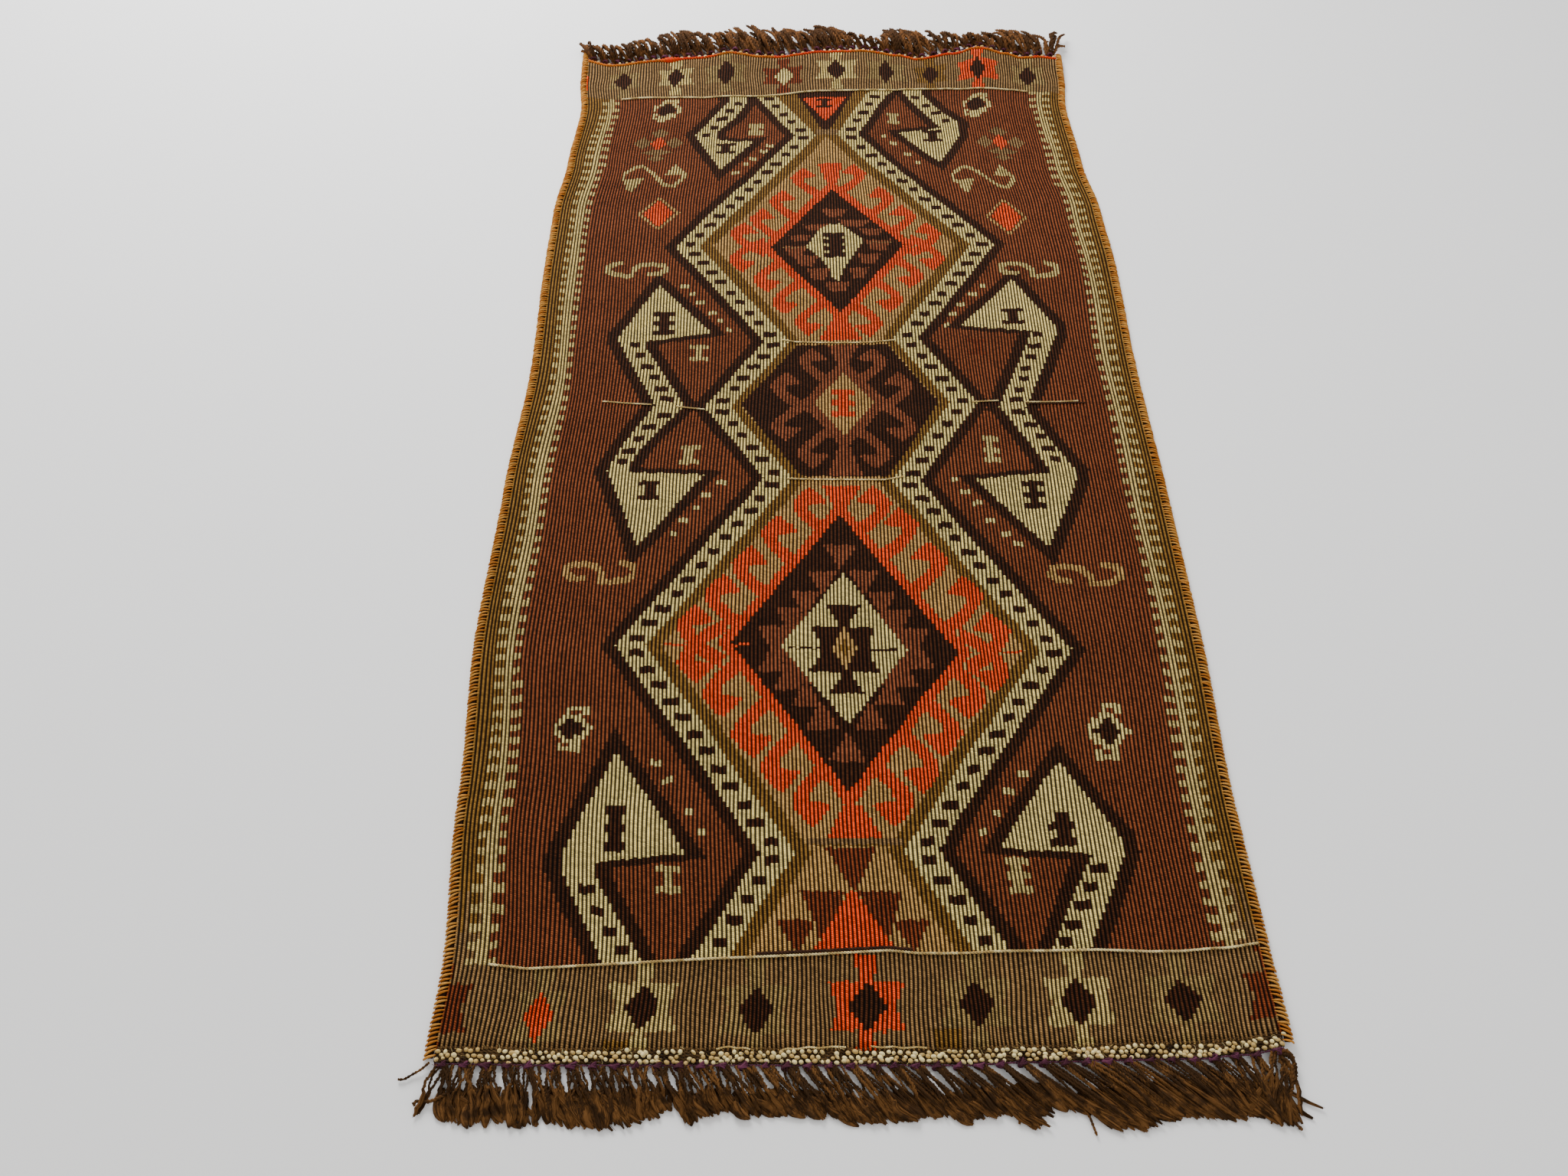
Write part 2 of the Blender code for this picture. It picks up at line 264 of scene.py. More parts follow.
def pathMesh(name, paths, **values):
    # open paths as a mesh of edges, with a number for each point under each name
    mesh = bpy.data.meshes.new(name)
    edges, first = [], 0
    for path in paths:
        edges += [(first + k, first + k + 1) for k in range(len(path) - 1)]
        first += len(path)
    mesh.from_pydata(np.concatenate(paths), edges, [])
    for label, numbers in values.items():
        setLayer(mesh, label, "FLOAT", "POINT", np.concatenate(numbers).astype(np.float32))
    return mesh


def metres(rows, columns=9):
    # a table whose first columns are given in millimetres
    table = np.array(rows, float)
    table[:, :columns] /= 1000.0
    return table


# Places on the cloth: 160 parts across it from the left, s along it from the outer edge of the near heading
rug = {
    "parts": 160,
    "firstRow": 0.0113,
    "lastRow": 1.1545,
    "bindingWidth": 0.0068,
    "crest": 0.0030,
    "valley": 0.0021,
    "nearHeading": 0.0108,
    "farHeading": 0.0052,
    "gap": 0.0003,
    "skirt": 0.0024,  # how far the first rows reach over the near heading
    "waves": 0.0005,
}
outline = metres((  # s, outer edge of the left binding, of the right binding
    (0, -293, 296.8), (60, -290.2, 296.2), (190, -298.5, 295), (340, -306.4, 299.2), (490, -303, 298.9),
    (640, -296.2, 297), (800, -299.6, 300.2), (880, -299.4, 297.5), (960, -292.5, 289), (1060, -286.8, 284.5),
    (1120, -292.5, 290), (1170, -294, 292.5),
))
nearEnd = metres((  # x, how far the end strays along the rug, how far it lifts
    (-290, 1, 0), (-200, 0, 0), (70, 0, 0), (115, 2, 0), (228, 4, 0), (260, 6.4, 0.5), (293, 10.9, 2.5),
))
farEnd = metres((
    (-292, -3, 4), (-257, -7, 0), (-200, 2, 0.8), (-150, 5.5, 3), (-112, 12, 6), (-80, 10.5, 2), (-60, 11.5, 0.5),
    (0, 16, 5), (50, 16.5, 6), (90, 13.5, 2), (115, 9, 0), (156, 14, 4), (190, 18, 10), (222, 13, 5.5), (240, 10, 2),
    (265, 10, 3), (290, 5, 3.5),
))
fadeFromNear = metres(((11, 1, 1), (70, 0.8, 0), (340, 0, 0)), 1)  # s, share of stray, of lift
fadeFromFar = metres(((640, 0, 0), (960, 0.35, 0), (1086, 0.75, 0.25), (1155, 1, 1)), 1)
frameShift = np.array((clothLow.x + 0.2993, clothLow.y - rug["firstRow"], clothLow.z))


def smooth(share):
    return share * share * (3.0 - 2.0 * share)


def eased(table, at, column=1):
    keys, values = table[:, 0], table[:, column]
    at = np.clip(at, keys[0], keys[-1])
    low = np.clip(np.searchsorted(keys, at, side="right") - 1, 0, len(keys) - 2)
    share = (at - keys[low]) / (keys[low + 1] - keys[low])
    return values[low] + (values[low + 1] - values[low]) * smooth(share)


def clothPoint(part, s, above=0.0, outward=0.0):
    # a point over the cloth's underside; outward is how far past that place along the rug it lies
    part, s, above, outward = np.broadcast_arrays(part, s, above, outward)
    inset = rug["bindingWidth"] + rug["gap"]
    left, right = eased(outline, s, 1) + inset, eased(outline, s, 2) - inset
    x = left + (right - left) * part / rug["parts"]
    y, z = s + outward, above
    for end, fade in ((nearEnd, fadeFromNear), (farEnd, fadeFromFar)):
        y = y + eased(end, x, 1) * eased(fade, s, 1)
        z = z + eased(end, x, 2) * eased(fade, s, 2)
    inner = np.clip((s - 0.03) / 0.1, 0, 1) * np.clip((1.14 - s) / 0.1, 0, 1)
    inner = inner * np.clip(part / 12.0, 0, 1) * np.clip((160 - part) / 12.0, 0, 1)
    ripple = np.sin(23 * s + 9 * x + 1.1) * np.sin(31 * x - 7 * s)
    ripple = ripple + 0.6 * np.sin(71 * s - 19 * x) + 0.4 * np.sin(53 * x + 31 * s)
    z = z + rug["waves"] * inner * (2.0 + ripple)
    return np.stack([x, y, z], axis=-1) + frameShift


# The woven pattern: which yarn each rib shows at each pick
loom = {"ribs": 184, "rows": 176, "picksPerRow": 6, "uneven": 0.6, "unevenEvery": 25.0, "seed": 7}
yarns = {
    # name: sRGB of the crest of a rib
    "madder": (115, 60, 32),
    "ivory": (216, 191, 112),
    "khaki": (180, 136, 72),
    "olive": (120, 85, 35),
    "orange": (229, 66, 3),
    "walnut": (58, 30, 14),
    "taupe": (130, 98, 58),
    "moss": (145, 117, 67),
    "cherry": (109, 51, 25),
    "russet": (124, 67, 40),
    "straw": (196, 168, 96),
}
yarnNumber = {name: place for place, name in enumerate(yarns)}
letters = {"i": "ivory", "k": "walnut", "h": "khaki"}
pickCount = loom["rows"] * loom["picksPerRow"]
pick = 1000.0 * (rug["lastRow"] - rug["firstRow"]) / pickCount
rib, along = np.meshgrid(
    (np.arange(loom["ribs"]) + 0.5) * rug["parts"] / loom["ribs"],
    1000.0 * rug["firstRow"] + (np.arange(pickCount) + 0.5) * pick,
)  # the part across that each rib lies at, and millimetres along
chance = np.random.default_rng(loom["seed"])
knots = np.arange(0.0, 1200.0, loom["unevenEvery"])
for column in range(loom["ribs"]):  # no weft turns back at quite the height of its neighbour
    along[:, column] += np.interp(along[:, column], knots, chance.normal(0.0, loom["uneven"], len(knots)))


woven = np.full(rib.shape, yarnNumber["madder"], np.uint8)


def weave(mask, yarn):
    woven[mask] = yarnNumber[yarn]


def polygon(points):
    mask = np.zeros(rib.shape, bool)
    for (x0, y0), (x1, y1) in zip(points, points[1:] + points[:1]):
        if y0 != y1:
            crosses = (along < y0) != (along < y1)
            mask ^= crosses & (rib < x0 + (along - y0) * (x1 - x0) / (y1 - y0))
    return mask


def fill(points, yarn):
    weave(polygon(points), yarn)


def lozenge(x, y, ribs, length):
    return abs(rib - x) / ribs + abs(along - y) / length < 1.0


def grown(points, ribs, length):
    # the polygon with a margin of this many ribs and millimetres, its corners left pointed
    ring = np.array(points, float) / (ribs, length)
    after = np.roll(ring, -1, axis=0)
    ahead = after - ring
    area = np.sum(ring[:, 0] * after[:, 1] - ring[:, 1] * after[:, 0])
    outwards = np.stack([ahead[:, 1], -ahead[:, 0]], axis=1) * np.sign(area)
    outwards /= np.linalg.norm(outwards, axis=1)[:, None]
    before = np.roll(outwards, 1, axis=0)
    corner = (before + outwards) / np.maximum(1.0 + np.sum(before * outwards, axis=1), 0.12)[:, None]
    return polygon([tuple(point) for point in (ring + corner) * (ribs, length)])


def acrossAt(path, y):
    ribs, places = zip(*sorted(path, key=lambda point: point[1]))
    return np.interp(y, places, ribs)


def alongAt(line, x):
    return np.interp(x, *zip(*line))


def placed(points, x, y, wide=1.0, high=1.0):
    return [(x + wide * px, y + high * py) for px, py in points]


def dash(x, y, yarn, ribs, length, slope=0.0):
    weave((abs(rib - x) < ribs / 2.0) & (abs(along - y - slope * (rib - x)) < length / 2.0), yarn)


def bars(x, y, ribs, length, levels, yarn="straw"):
    # an H: a stem, and bars across it at these shares of its length
    weave((abs(rib - x) < ribs * 0.24) & (abs(along - y) < length / 2.0), yarn)
    for level in levels:
        dash(x, y + (level - 0.5) * length * 0.82, yarn, ribs, length * 0.16 + 3.8 / len(levels))


def charted(rows, x, y, step):
    # a small motif from rows of letters, one letter a rib, centred on (x, y)
    for down, row in enumerate(rows):
        level = abs(along - y - (len(rows) / 2.0 - down - 0.5) * step) <= step / 2.0
        for place, letter in enumerate(row):
            if letter in letters:
                weave(level & (abs(rib - x + len(row) / 2.0 - place - 0.5) < 0.5), letters[letter])


def drawn(route, x, y, yarn, ribs, length, across=1):
    # a line a few ribs wide through these places round (x, y)
    for (x0, y0), (x1, y1) in zip(route, route[1:]):
        for share in np.linspace(0.0, 1.0, 9):
            dash(x + across * (x0 + (x1 - x0) * share), y + y0 + (y1 - y0) * share, yarn, ribs, length)


zigzags = {
    # side: (rib, mm) down the middle of the ivory band
    -1: (
        (58, 1098), (62.9, 1064), (73.8, 1004), (38.7, 818), (64.4, 679), (49.2, 592), (65.8, 505), (33.4, 327),
        (65.2, 148), (48.6, 60),
    ),
    1: (
        (103, 1100), (98, 1078), (87.4, 1006), (124.3, 822), (99.8, 684), (113.8, 598), (97.4, 502), (128.3, 323),
        (94.8, 150), (109, 60),
    ),
}
endLines = {
    "near": (
        (0, 66), (7, 66), (15, 63), (24, 65), (35, 67), (50, 70), (70, 73), (86, 76), (92, 74), (127, 74), (138, 72),
        (160, 73),
    ),
    "far": (
        (0, 1088), (5, 1086), (12, 1082), (30, 1080), (47, 1075), (60, 1078), (72, 1083), (95, 1085), (105, 1088),
        (113, 1095), (120, 1092), (135, 1087), (141, 1089), (160, 1090),
    ),
}
hookShape = (
    (0, 0), (2.1, -8), (4.1, -17), (3.7, -19.5), (-0.4, -21.5), (-0.2, -28), (1.3, -34.5), (3.3, -41), (7, -50),
    (6, -62), (1.4, -52), (-0.6, -43.5), (-2.8, -34), (-4.2, -25), (-4.4, -18.5), (-2.8, -10), (-1.2, -3.5),
)


def weaveZigzags():
    paths = {side: acrossAt(path, along) for side, path in zigzags.items()}
    weave((rib > paths[-1]) & (rib < paths[1]), "khaki")
    deep = np.interp(along, [520, 600, 680, 760], [6.9, 6.3, 6.3, 7.6])
    for side, path in paths.items():
        outward = side * (rib - path)
        weave((outward > -deep) & (outward < 0.0), "olive")


def weaveIvoryBands():
    for side, path in zigzags.items():
        outward = side * (rib - acrossAt(path, along))
        weave((outward >= 0.0) & (outward < 6.7), "walnut")
        weave(abs(outward) < 3.5, "ivory")


dashes = {"every": 13.9, "uneven": 0.12, "ribs": 3.0, "length": 6.8, "slope": 0.15}


def dashesDown(path, first, last):
    y = first
    while y < last:
        x, ahead = acrossAt(path, np.array([y, y + 1.0]))
        dash(x, y, "walnut", dashes["ribs"], dashes["length"], dashes["slope"] * np.sign(ahead - x))
        y += dashes["every"] * (1.0 + dashes["uneven"] * np.sin(1.7 * y))


def weaveHooks(groups, yarn):
    # hooks of one width and height to a group, their tips at these places
    for wide, high, *tips in groups:
        for x, y in tips:
            fill(placed(hookShape, x, y, wide, high), yarn)


def tipped(left, right, top, bottom, more=0.0):
    # a lozenge from its four tips, with this many ribs more all round
    steep = more * (top[1] - left[1]) / (top[0] - left[0])
    return polygon([
        (left[0] - more, left[1]), (top[0], top[1] + steep),
        (right[0] + more, right[1]), (bottom[0], bottom[1] - steep),
    ])


def weaveTeeth(rows, point):
    # russet teeth, each narrowing to this share of its width
    for x, y, ribs, high in rows:
        half = ribs / 2
        fill([(x - half, y), (x + half, y), (x + point * half, y - high), (x - point * half, y - high)], "russet")


upperMedallion = {
    "tips": ((62.6, 815.5), (101.4, 820.7), (81.5, 909), (82.4, 720)),
    "more": 3.2,
    "ends": (
        ((77.5, 955), (85.5, 957), (83.5, 920), (80, 920)), ((76, 681), (88, 682), (83.5, 715), (80.5, 715)),
    ),
    "hooks": (
        (0.9, 0.86, (73, 947), (66.8, 909), (60.5, 880), (55.2, 856)),
        (-0.9, 0.88, (88.8, 955), (96.2, 914), (102, 884.5), (108.8, 857)),
        (0.9, -0.86, (73.5, 687), (67, 716), (62, 748.5), (55, 778)),
        (-0.9, -0.86, (89.8, 686), (96.1, 720), (102.3, 755), (109, 783)),
    ),
}
lowerMedallion = {
    "tips": ((55.7, 330), (106.4, 320), (80.7, 463), (80.6, 197)),
    "more": 2.9,
    "ends": (
        ((76.5, 496), (86.5, 496), (82.5, 470), (79.5, 470)), ((75.5, 159), (87.5, 159), (83, 186), (79.5, 186)),
    ),
    "hooks": (
        (1, 1, (73.6, 495), (66.3, 463), (59.6, 429), (53.6, 399), (47.7, 368)),
        (-1, 1, (89.2, 496), (95.3, 471), (101.6, 434), (109.3, 398), (114.4, 361)),
        (1, -1, (72.7, 168), (66.2, 195.5), (60.3, 225), (54, 260), (48.2, 291)),
        (-1, -1, (89.7, 168), (96, 195.5), (101.4, 226), (107.3, 258), (113.4, 282.5)),
    ),
}


def weaveMedallion(tips, more, ends, hooks):
    weave(tipped(*tips, more=more), "orange")
    for points in ends:
        fill(points, "orange")
    weaveHooks(hooks, "orange")
    weave(tipped(*tips), "walnut")


def weaveUpperMedallion():
    weaveMedallion(**upperMedallion)
    weaveTeeth((
        (81.8, 877, 8, 13), (76.5, 852, 8, 9), (87.5, 859, 10, 11), (71.5, 836, 7, 10), (92.5, 845, 8, 11),
        (70, 818, 7, 16), (94, 826, 8, 15), (73, 803, 7, 16), (91, 806, 7, 15), (76.5, 784, 7, 17), (88, 785, 6, 15),
        (81.8, 764, 8, 14),
    ), 0.5)
    fill([
        (73, 817), (77.5, 845), (80, 852), (83.5, 852), (90, 826), (86, 800), (83.5, 780), (82.3, 766), (80.7, 768),
        (79.5, 785), (77, 800),
    ], "ivory")
    bars(81.6, 819, 6.2, 38, (0.0, 0.33, 0.67, 1.0), "walnut")
    dash(70.0, 816, "taupe", 8, 1.2)
    dash(95.0, 823, "taupe", 7, 1.2)


def weaveLowerMedallion():
    weaveMedallion(**lowerMedallion)
    weaveTeeth((
        (80.7, 430, 8, 26), (76.5, 402, 7.5, 26), (86, 402, 7.5, 26), (72.5, 381, 7, 26), (90, 380, 7, 26),
        (69, 364, 6.5, 26), (93.5, 362, 7, 26), (65, 346, 7, 26), (97, 344, 7, 26), (80.7, 222, 8, -26),
        (75.5, 250, 7.5, -26), (86, 250, 7.5, -26), (72.5, 270, 7, -26), (90.5, 272, 7, -26), (68.5, 285, 7, -26),
        (94, 288, 7, -26), (65, 302, 7, -26), (97.5, 305, 7, -26),
    ), 0.0)
    weave(tipped((64.5, 327), (98, 324), (81, 415), (81, 238)) & (abs(along - 325) < 34), "russet")
    weave(tipped((67, 327), (95.5, 323), (81.3, 400), (81, 254)), "ivory")
    fill([
        (77, 367), (85.5, 367), (82.7, 352), (82.7, 345), (88.3, 345), (86.6, 330), (86.8, 317), (88.8, 302),
        (82.7, 302), (82.7, 296), (85.2, 282), (77.2, 282), (79.6, 296), (79.6, 302), (72.8, 302), (75.6, 317),
        (75.6, 330), (73.8, 346), (79.6, 346), (79.6, 353),
    ], "walnut")
    weave(lozenge(81.2, 325, 3.0, 21), "khaki")
    weave(lozenge(81.2, 325, 1.2, 9), "olive")
    for x, y, yarn, ribs, length in (
        (72, 325, "walnut", 6.5, 2), (90, 323, "walnut", 5.5, 2.4), (44, 328, "orange", 7, 2.2),
        (57.5, 328, "orange", 4.5, 2), (118, 321, "orange", 5, 1.6),
    ):
        dash(x, y, yarn, ribs, length)


def weaveHexagon():
    fill([(69.8, 674), (94.5, 676), (107.4, 598), (93, 507), (71.4, 507), (55.6, 595)], "walnut")
    weave(tipped((71, 597), (94, 598), (82.5, 655), (82.5, 537)), "russet")
    fill([(78.5, 675), (87, 675), (83.5, 645), (81, 645)], "russet")
    fill([(78, 508), (87, 508), (83.5, 545), (81, 545)], "russet")
    weaveHooks((
        (0.95, 0.85, (74.3, 670), (67, 637)), (-0.95, 0.85, (90.2, 670), (97, 638)),
        (0.95, -0.85, (74.5, 516), (67.5, 549)), (-0.95, -0.85, (90.2, 516), (97, 549)),
    ), "russet")
    weave(tipped((74.3, 597), (90.5, 598), (82.4, 636), (82.6, 556)), "khaki")
    bars(82.2, 597, 6.0, 34, (0.0, 0.5, 1.0), "orange")


def weaveNecks():
    # far: an orange triangle hanging in a dark one
    fill([(66, 1090), (95, 1090), (86, 1008), (75.5, 1008)], "olive")
    fill([(70.5, 1082), (90.5, 1084), (81.5, 1012), (79.5, 1012)], "walnut")
    fill([(72.7, 1072), (87.7, 1072), (80.9, 1030), (80.1, 1030)], "orange")
    bars(79.9, 1061, 5.0, 15, (0.0, 1.0), "walnut")
    fill([(77, 1014), (84.5, 1014), (84.5, 1004), (77, 1004)], "taupe")
    # near: stepped triangles on khaki
    fill([(75, 152), (85.5, 152), (80.2, 117)], "cherry")
    for side in (-1, 1):
        fill(placed([(1.5, 119), (10.5, 119), (8, 100), (6.5, 80), (4, 80)], 79.5, 0, side), "cherry")
        fill(placed([(7.5, 98), (15.5, 98), (11.5, 74)], 79.5, 0, side), "cherry")
    fill([(79, 119), (80.3, 119), (88, 74), (71, 74)], "orange")
    dash(81, 157, "taupe", 20, 5)
    dash(81, 154, "olive", 18, 1.6)


wings = (
    # ivory shape; line of its dashes, beads beside it; figure in its head, in its panel: x, y, ribs, length, bars
    (
        (
            (46, 1100), (48, 1066), (43, 1038), (37.5, 1009), (47, 944), (57, 996), (51, 994), (45, 1000), (45, 1012),
            (50, 1035), (54, 1067), (54, 1100),
        ),
        ((51.5, 1066), (46.5, 1036), (41.5, 1008)), ((62, 986), (60.3, 977), (57, 964), (54.8, 955), (51.5, 940)),
        (48.2, 982.5, 5.6, 17, (0, 1)), (57.2, 1017, 4.8, 20, (0, 0.25, 0.75, 1)),
    ),
    (
        (
            (107, 1110), (107, 1085), (115.5, 1035), (118, 1021), (104.5, 1010), (116.5, 960), (124, 1005),
            (124.5, 1028), (119.5, 1048), (113, 1085), (113, 1110),
        ),
        ((110, 1082), (120.5, 1032)), ((99, 1003), (102.2, 992), (106.3, 973), (109.5, 959)),
        (115.2, 1007, 5.6, 18, (0, 1)), (103.2, 1035, 4.6, 17, (0, 1)),
    ),
    (
        (
            (31.7, 760), (46.5, 690), (28.5, 678), (29, 668), (40.5, 592), (33, 592), (24, 655), (21, 680),
            (21.5, 690),
        ),
        ((25.5, 674), (35.5, 602)), ((38.5, 758), (40.8, 747), (43.3, 734), (46.5, 718), (48.7, 707), (51.2, 694)),
        (33.4, 704, 5.4, 33, (0, 0.5, 1)), (43.5, 663, 4.8, 19, (0, 1)),
    ),
    (
        (
            (131.2, 768), (141.5, 702), (141.5, 690), (139, 670), (130.5, 592), (123, 592), (131.5, 665),
            (134.5, 694), (115.5, 702),
        ),
        ((136.2, 689), (128, 602)), ((122.5, 759), (119.5, 747), (116.3, 732), (113.5, 718), (111.2, 703)),
        (130, 715, 5.4, 21, (0, 1)), (119.5, 672, 5.2, 21, (0, 1), "cherry"),
    ),
    (
        (
            (33, 594), (25.5, 540), (23, 513), (32.5, 428), (47.5, 508), (29, 511), (28.5, 520), (31, 540),
            (40.5, 594),
        ),
        ((36, 583), (32, 565), (28, 540), (26.5, 524)), ((51.5, 500), (48, 485), (46, 471), (43, 456), (40.8, 441)),
        (34.3, 490, 5.2, 20, (0, 1)), (43.3, 532, 4.8, 22, (0, 1)),
    ),
    (
        (
            (123, 594), (129.5, 594), (136.5, 540), (140, 515), (139.5, 500), (130.5, 427), (114.5, 504),
            (133.5, 511), (132, 525), (129, 550),
        ),
        ((127.8, 586), (131, 568), (133.5, 548), (135, 528)),
        ((109.5, 504), (111.5, 489), (114.3, 476), (117.2, 457), (120.5, 442), (123.3, 431)),
        (128.7, 486, 5.2, 30, (0, 0.5, 1)), (119.3, 540, 4.6, 32, (0, 0.45, 1)),
    ),
    (
        (
            (31.2, 230), (46.5, 148), (27.5, 140.5), (28.5, 125), (38.5, 60), (30.5, 60), (22, 123), (20.5, 138),
            (21, 150),
        ),
        ((24.8, 130), (27.5, 109), (33.5, 76)), ((39.7, 221), (42, 206), (47, 181), (49.7, 165)),
        (31.8, 167, 4.8, 36, (0, 0.5, 1)), (42.5, 128, 4.8, 19, (0, 1)),
    ),
    (
        (
            (125.5, 222), (136, 162), (136.5, 146), (134.5, 132), (124, 60), (116, 60), (127.5, 132), (129.5, 145),
            (111, 151.5),
        ),
        ((131, 138), (121.5, 80)), ((117.7, 211), (114.5, 196), (111.2, 179), (107.8, 164)),
        (124.6, 165, 5.2, 28, (0.05, 0.62)), (113.6, 130, 5.2, 27, (0, 0.5, 1)),
    ),
)


def weaveWings():
    for ivory, *_ in wings:
        weave(grown(ivory, 3.1, 5.5), "walnut")
    for ivory, arm, beads, head, panel in wings:
        fill(ivory, "ivory")
        levels = [y for _, y in arm]
        dashesDown(arm, min(levels), max(levels) + 1.0)
        for x, y in beads:
            dash(x, y, "ivory", 2.3, 5.2)
        bars(*head, "walnut")
        bars(*panel)


combs = {
    "period": 13.1,
    "tooth": 6.2,
    "spines": {
        # inward side: (rib, mm) down the middle
        1: [(5.5, 60), (6.2, 120), (7.0, 200), (6.5, 450), (6.6, 900), (7.0, 1010), (8.6, 1085)],
        -1: [(154.0, 60), (153.2, 150), (154.2, 300), (154.2, 900), (153.0, 1090)],
    },
}


def weaveCombs():
    for inward, spine in combs["spines"].items():
        offset = inward * (rib - acrossAt(spine, along))
        phase = (along + 2.2 * np.sin(along / 41.0) + 1.3 * np.sin(along / 13.7 + inward)) % combs["period"]
        tooth = phase < combs["tooth"]
        weave(offset < 1.0, "olive")
        weave((offset < 1.0) & (along < 118.0 - 30.0 * (rib % 2.0 > 1.0)), "taupe")
        weave(tooth & (offset > -3.2) & (offset < 3.2), "straw")
        weave(abs(offset) < 1.0, "straw")


smallMotifs = {
    "star": (
        "....iiiii.",
        "...iihhii.",
        "..iikkii..",
        "ii.kkkkii.",
        "i.kkkkk.ii",
        "i.kkkkkkii",
        "..kkkkk.ii",
        "ii.kkiii..",
        "i.iiiiii..",
        "iiiiii....",
        "..iii.....",
    ),
    "cross": (
        "...iiiii.",
        "...i..ii.",
        "..iiii...",
        ".iikkii..",
        "iikkkkii.",
        "ikkkkkkii",
        "iikkkkii.",
        ".iikkii..",
        "..iiii...",
        ".i..ii...",
        ".iiiii...",
    ),
}
curl = [
    (-4.8, 10), (-6.7, 9), (-8.0, 5), (-8.0, -3), (-6.0, -7.5), (-3.3, -10), (-1.0, -9),
    (-0.8, -1), (0.8, 6), (4.0, 8.5), (7.6, 6.5), (8.2, 0), (6.3, -6.5), (3.7, -6.5),
]
scroll = [(-9.7, -3), (-9.5, 8), (-6.5, 18), (-4.2, 20), (0.0, 4), (3.5, -14), (6.5, -16), (9.0, -4), (9.2, 4)]


def weaveSmallMotifs():
    for name, x, y, step in (
        ("star", 27.3, 1055, 3.9), ("star", 131.8, 1058, 3.9), ("cross", 21.6, 250, 3.6), ("cross", 137.8, 248, 4.6),
    ):
        charted(smallMotifs[name], x, y, step)
    for x, y, yarn, across in (
        (24.5, 400, "khaki", -1), (138, 399, "khaki", -1), (24.8, 783, "straw", 1), (136.5, 783, "straw", -1),
    ):
        drawn(curl, x, y, yarn, 1.5, 5.5, across)
    # orange lozenges outlined in khaki
    for x, y, ribs, length in ((29.6, 872, 4.6, 23), (133.0, 865, 4.4, 24)):
        weave(lozenge(x, y, ribs + 1.9, length + 5), "khaki")
        weave(lozenge(x, y, ribs + 0.7, length + 1.5), "madder")
        weave(lozenge(x, y, ribs, length), "orange")
    # faint flowers
    for x, y in ((26.2, 994), (137.0, 993)):
        for dx, dy, ribs, length in ((0, 18, 3, 9), (-5, 1, 3, 11), (5, 1, 3, 11), (0, -16, 5, 7), (0, -27, 3, 6)):
            weave(lozenge(x + dx, y + dy, ribs, length), "taupe")
        weave(lozenge(x, y, 2.5, 13), "orange")
    # scrolls: a leaf at each end of a wandering line
    for x, y in ((26.5, 934), (129.3, 930)):
        fill(placed([(-9.5, -3), (-3, -1), (-6, -24), (-7.5, -22)], x, y), "straw")
        fill(placed([(6, 23), (3.2, 3), (10, 3)], x, y), "straw")
        drawn(scroll, x, y, "straw", 1.1, 4.4)


endStars = {
    # x, y, centre yarn, petal yarn, centre ribs, centre length, size of the petals
    "near": (
        (38.2, 37.5, "walnut", "straw", 3.1, 14, 0.95), (60, 36, "walnut", "moss", 3.5, 15, 1),
        (81.5, 38.5, "walnut", "orange", 3.3, 15, 1), (102.6, 39.5, "walnut", "moss", 3.5, 14, 1),
        (122.3, 39, "walnut", "straw", 3.2, 15, 0.95), (142.5, 39, "walnut", "moss", 3.4, 13, 1),
        (18.8, 31.5, "orange", "moss", 2.8, 15, 0.7), (-1, 36, "cherry", "cherry", 3, 14, 0.85),
        (161, 37, "cherry", "cherry", 3, 14, 0.85),
    ),
    "far": (
        (12.9, 1120, "walnut", "moss", 3, 19, 0.8), (30.2, 1120, "walnut", "straw", 2.6, 18, 0.85),
        (47, 1120, "walnut", "moss", 3, 22, 1), (66.6, 1117, "ivory", "cherry", 2.9, 16, 0.95),
        (84.7, 1123, "walnut", "straw", 3.3, 16, 1), (101.4, 1122, "walnut", "moss", 2.7, 21, 1),
        (116.6, 1122, "walnut", "olive", 2.7, 17, 0.8), (132.6, 1122, "walnut", "orange", 2, 17, 0.98),
        (149.6, 1119, "walnut", "moss", 2.6, 18, 0.8),
    ),
}
petal = [(-7.2, 16), (-1.0, 16), (-1.0, -15), (-7.2, -15), (-5.4, 0)]
stem = [(-2.6, 34), (2.4, 34), (0.9, 12), (-0.9, 12)]


def weaveEndBands():
    near = along < alongAt(endLines["near"], rib)
    far = along > alongAt(endLines["far"], rib)
    weave(near | far, "taupe")
    weave(near & (abs(rib - 33.5) < 2.6) & (along < 17), "olive")
    weave(near & (abs(rib - 96.5) < 3.0) & (along < 24), "olive")
    for inside, stars in ((near, endStars["near"]), (far, endStars["far"])):
        for x, y, centre, petals, ribs, length, size in stars:
            for side in (-1, 1):
                weave(inside & polygon(placed(petal, x, y, side * size, 1.0)), petals)
                weave(inside & polygon(placed(stem, x, y, 1.0, side)), petals)
            weave(lozenge(x, y, ribs + 0.4, length + 1) & (abs(rib - x) < ribs), centre)
    weave(far & (rib < 1.2) & (abs(along - 1113) < 13), "orange")


weaveZigzags()
weaveUpperMedallion()
weaveLowerMedallion()
weaveHexagon()
weaveNecks()
weaveIvoryBands()
weaveWings()
weaveIvoryBands()
for zigzag in zigzags.values():
    dashesDown(zigzag, 82.0, 1076.0)


weaveWings()
weaveCombs()
weaveSmallMotifs()
weaveEndBands()
print("pattern woven")


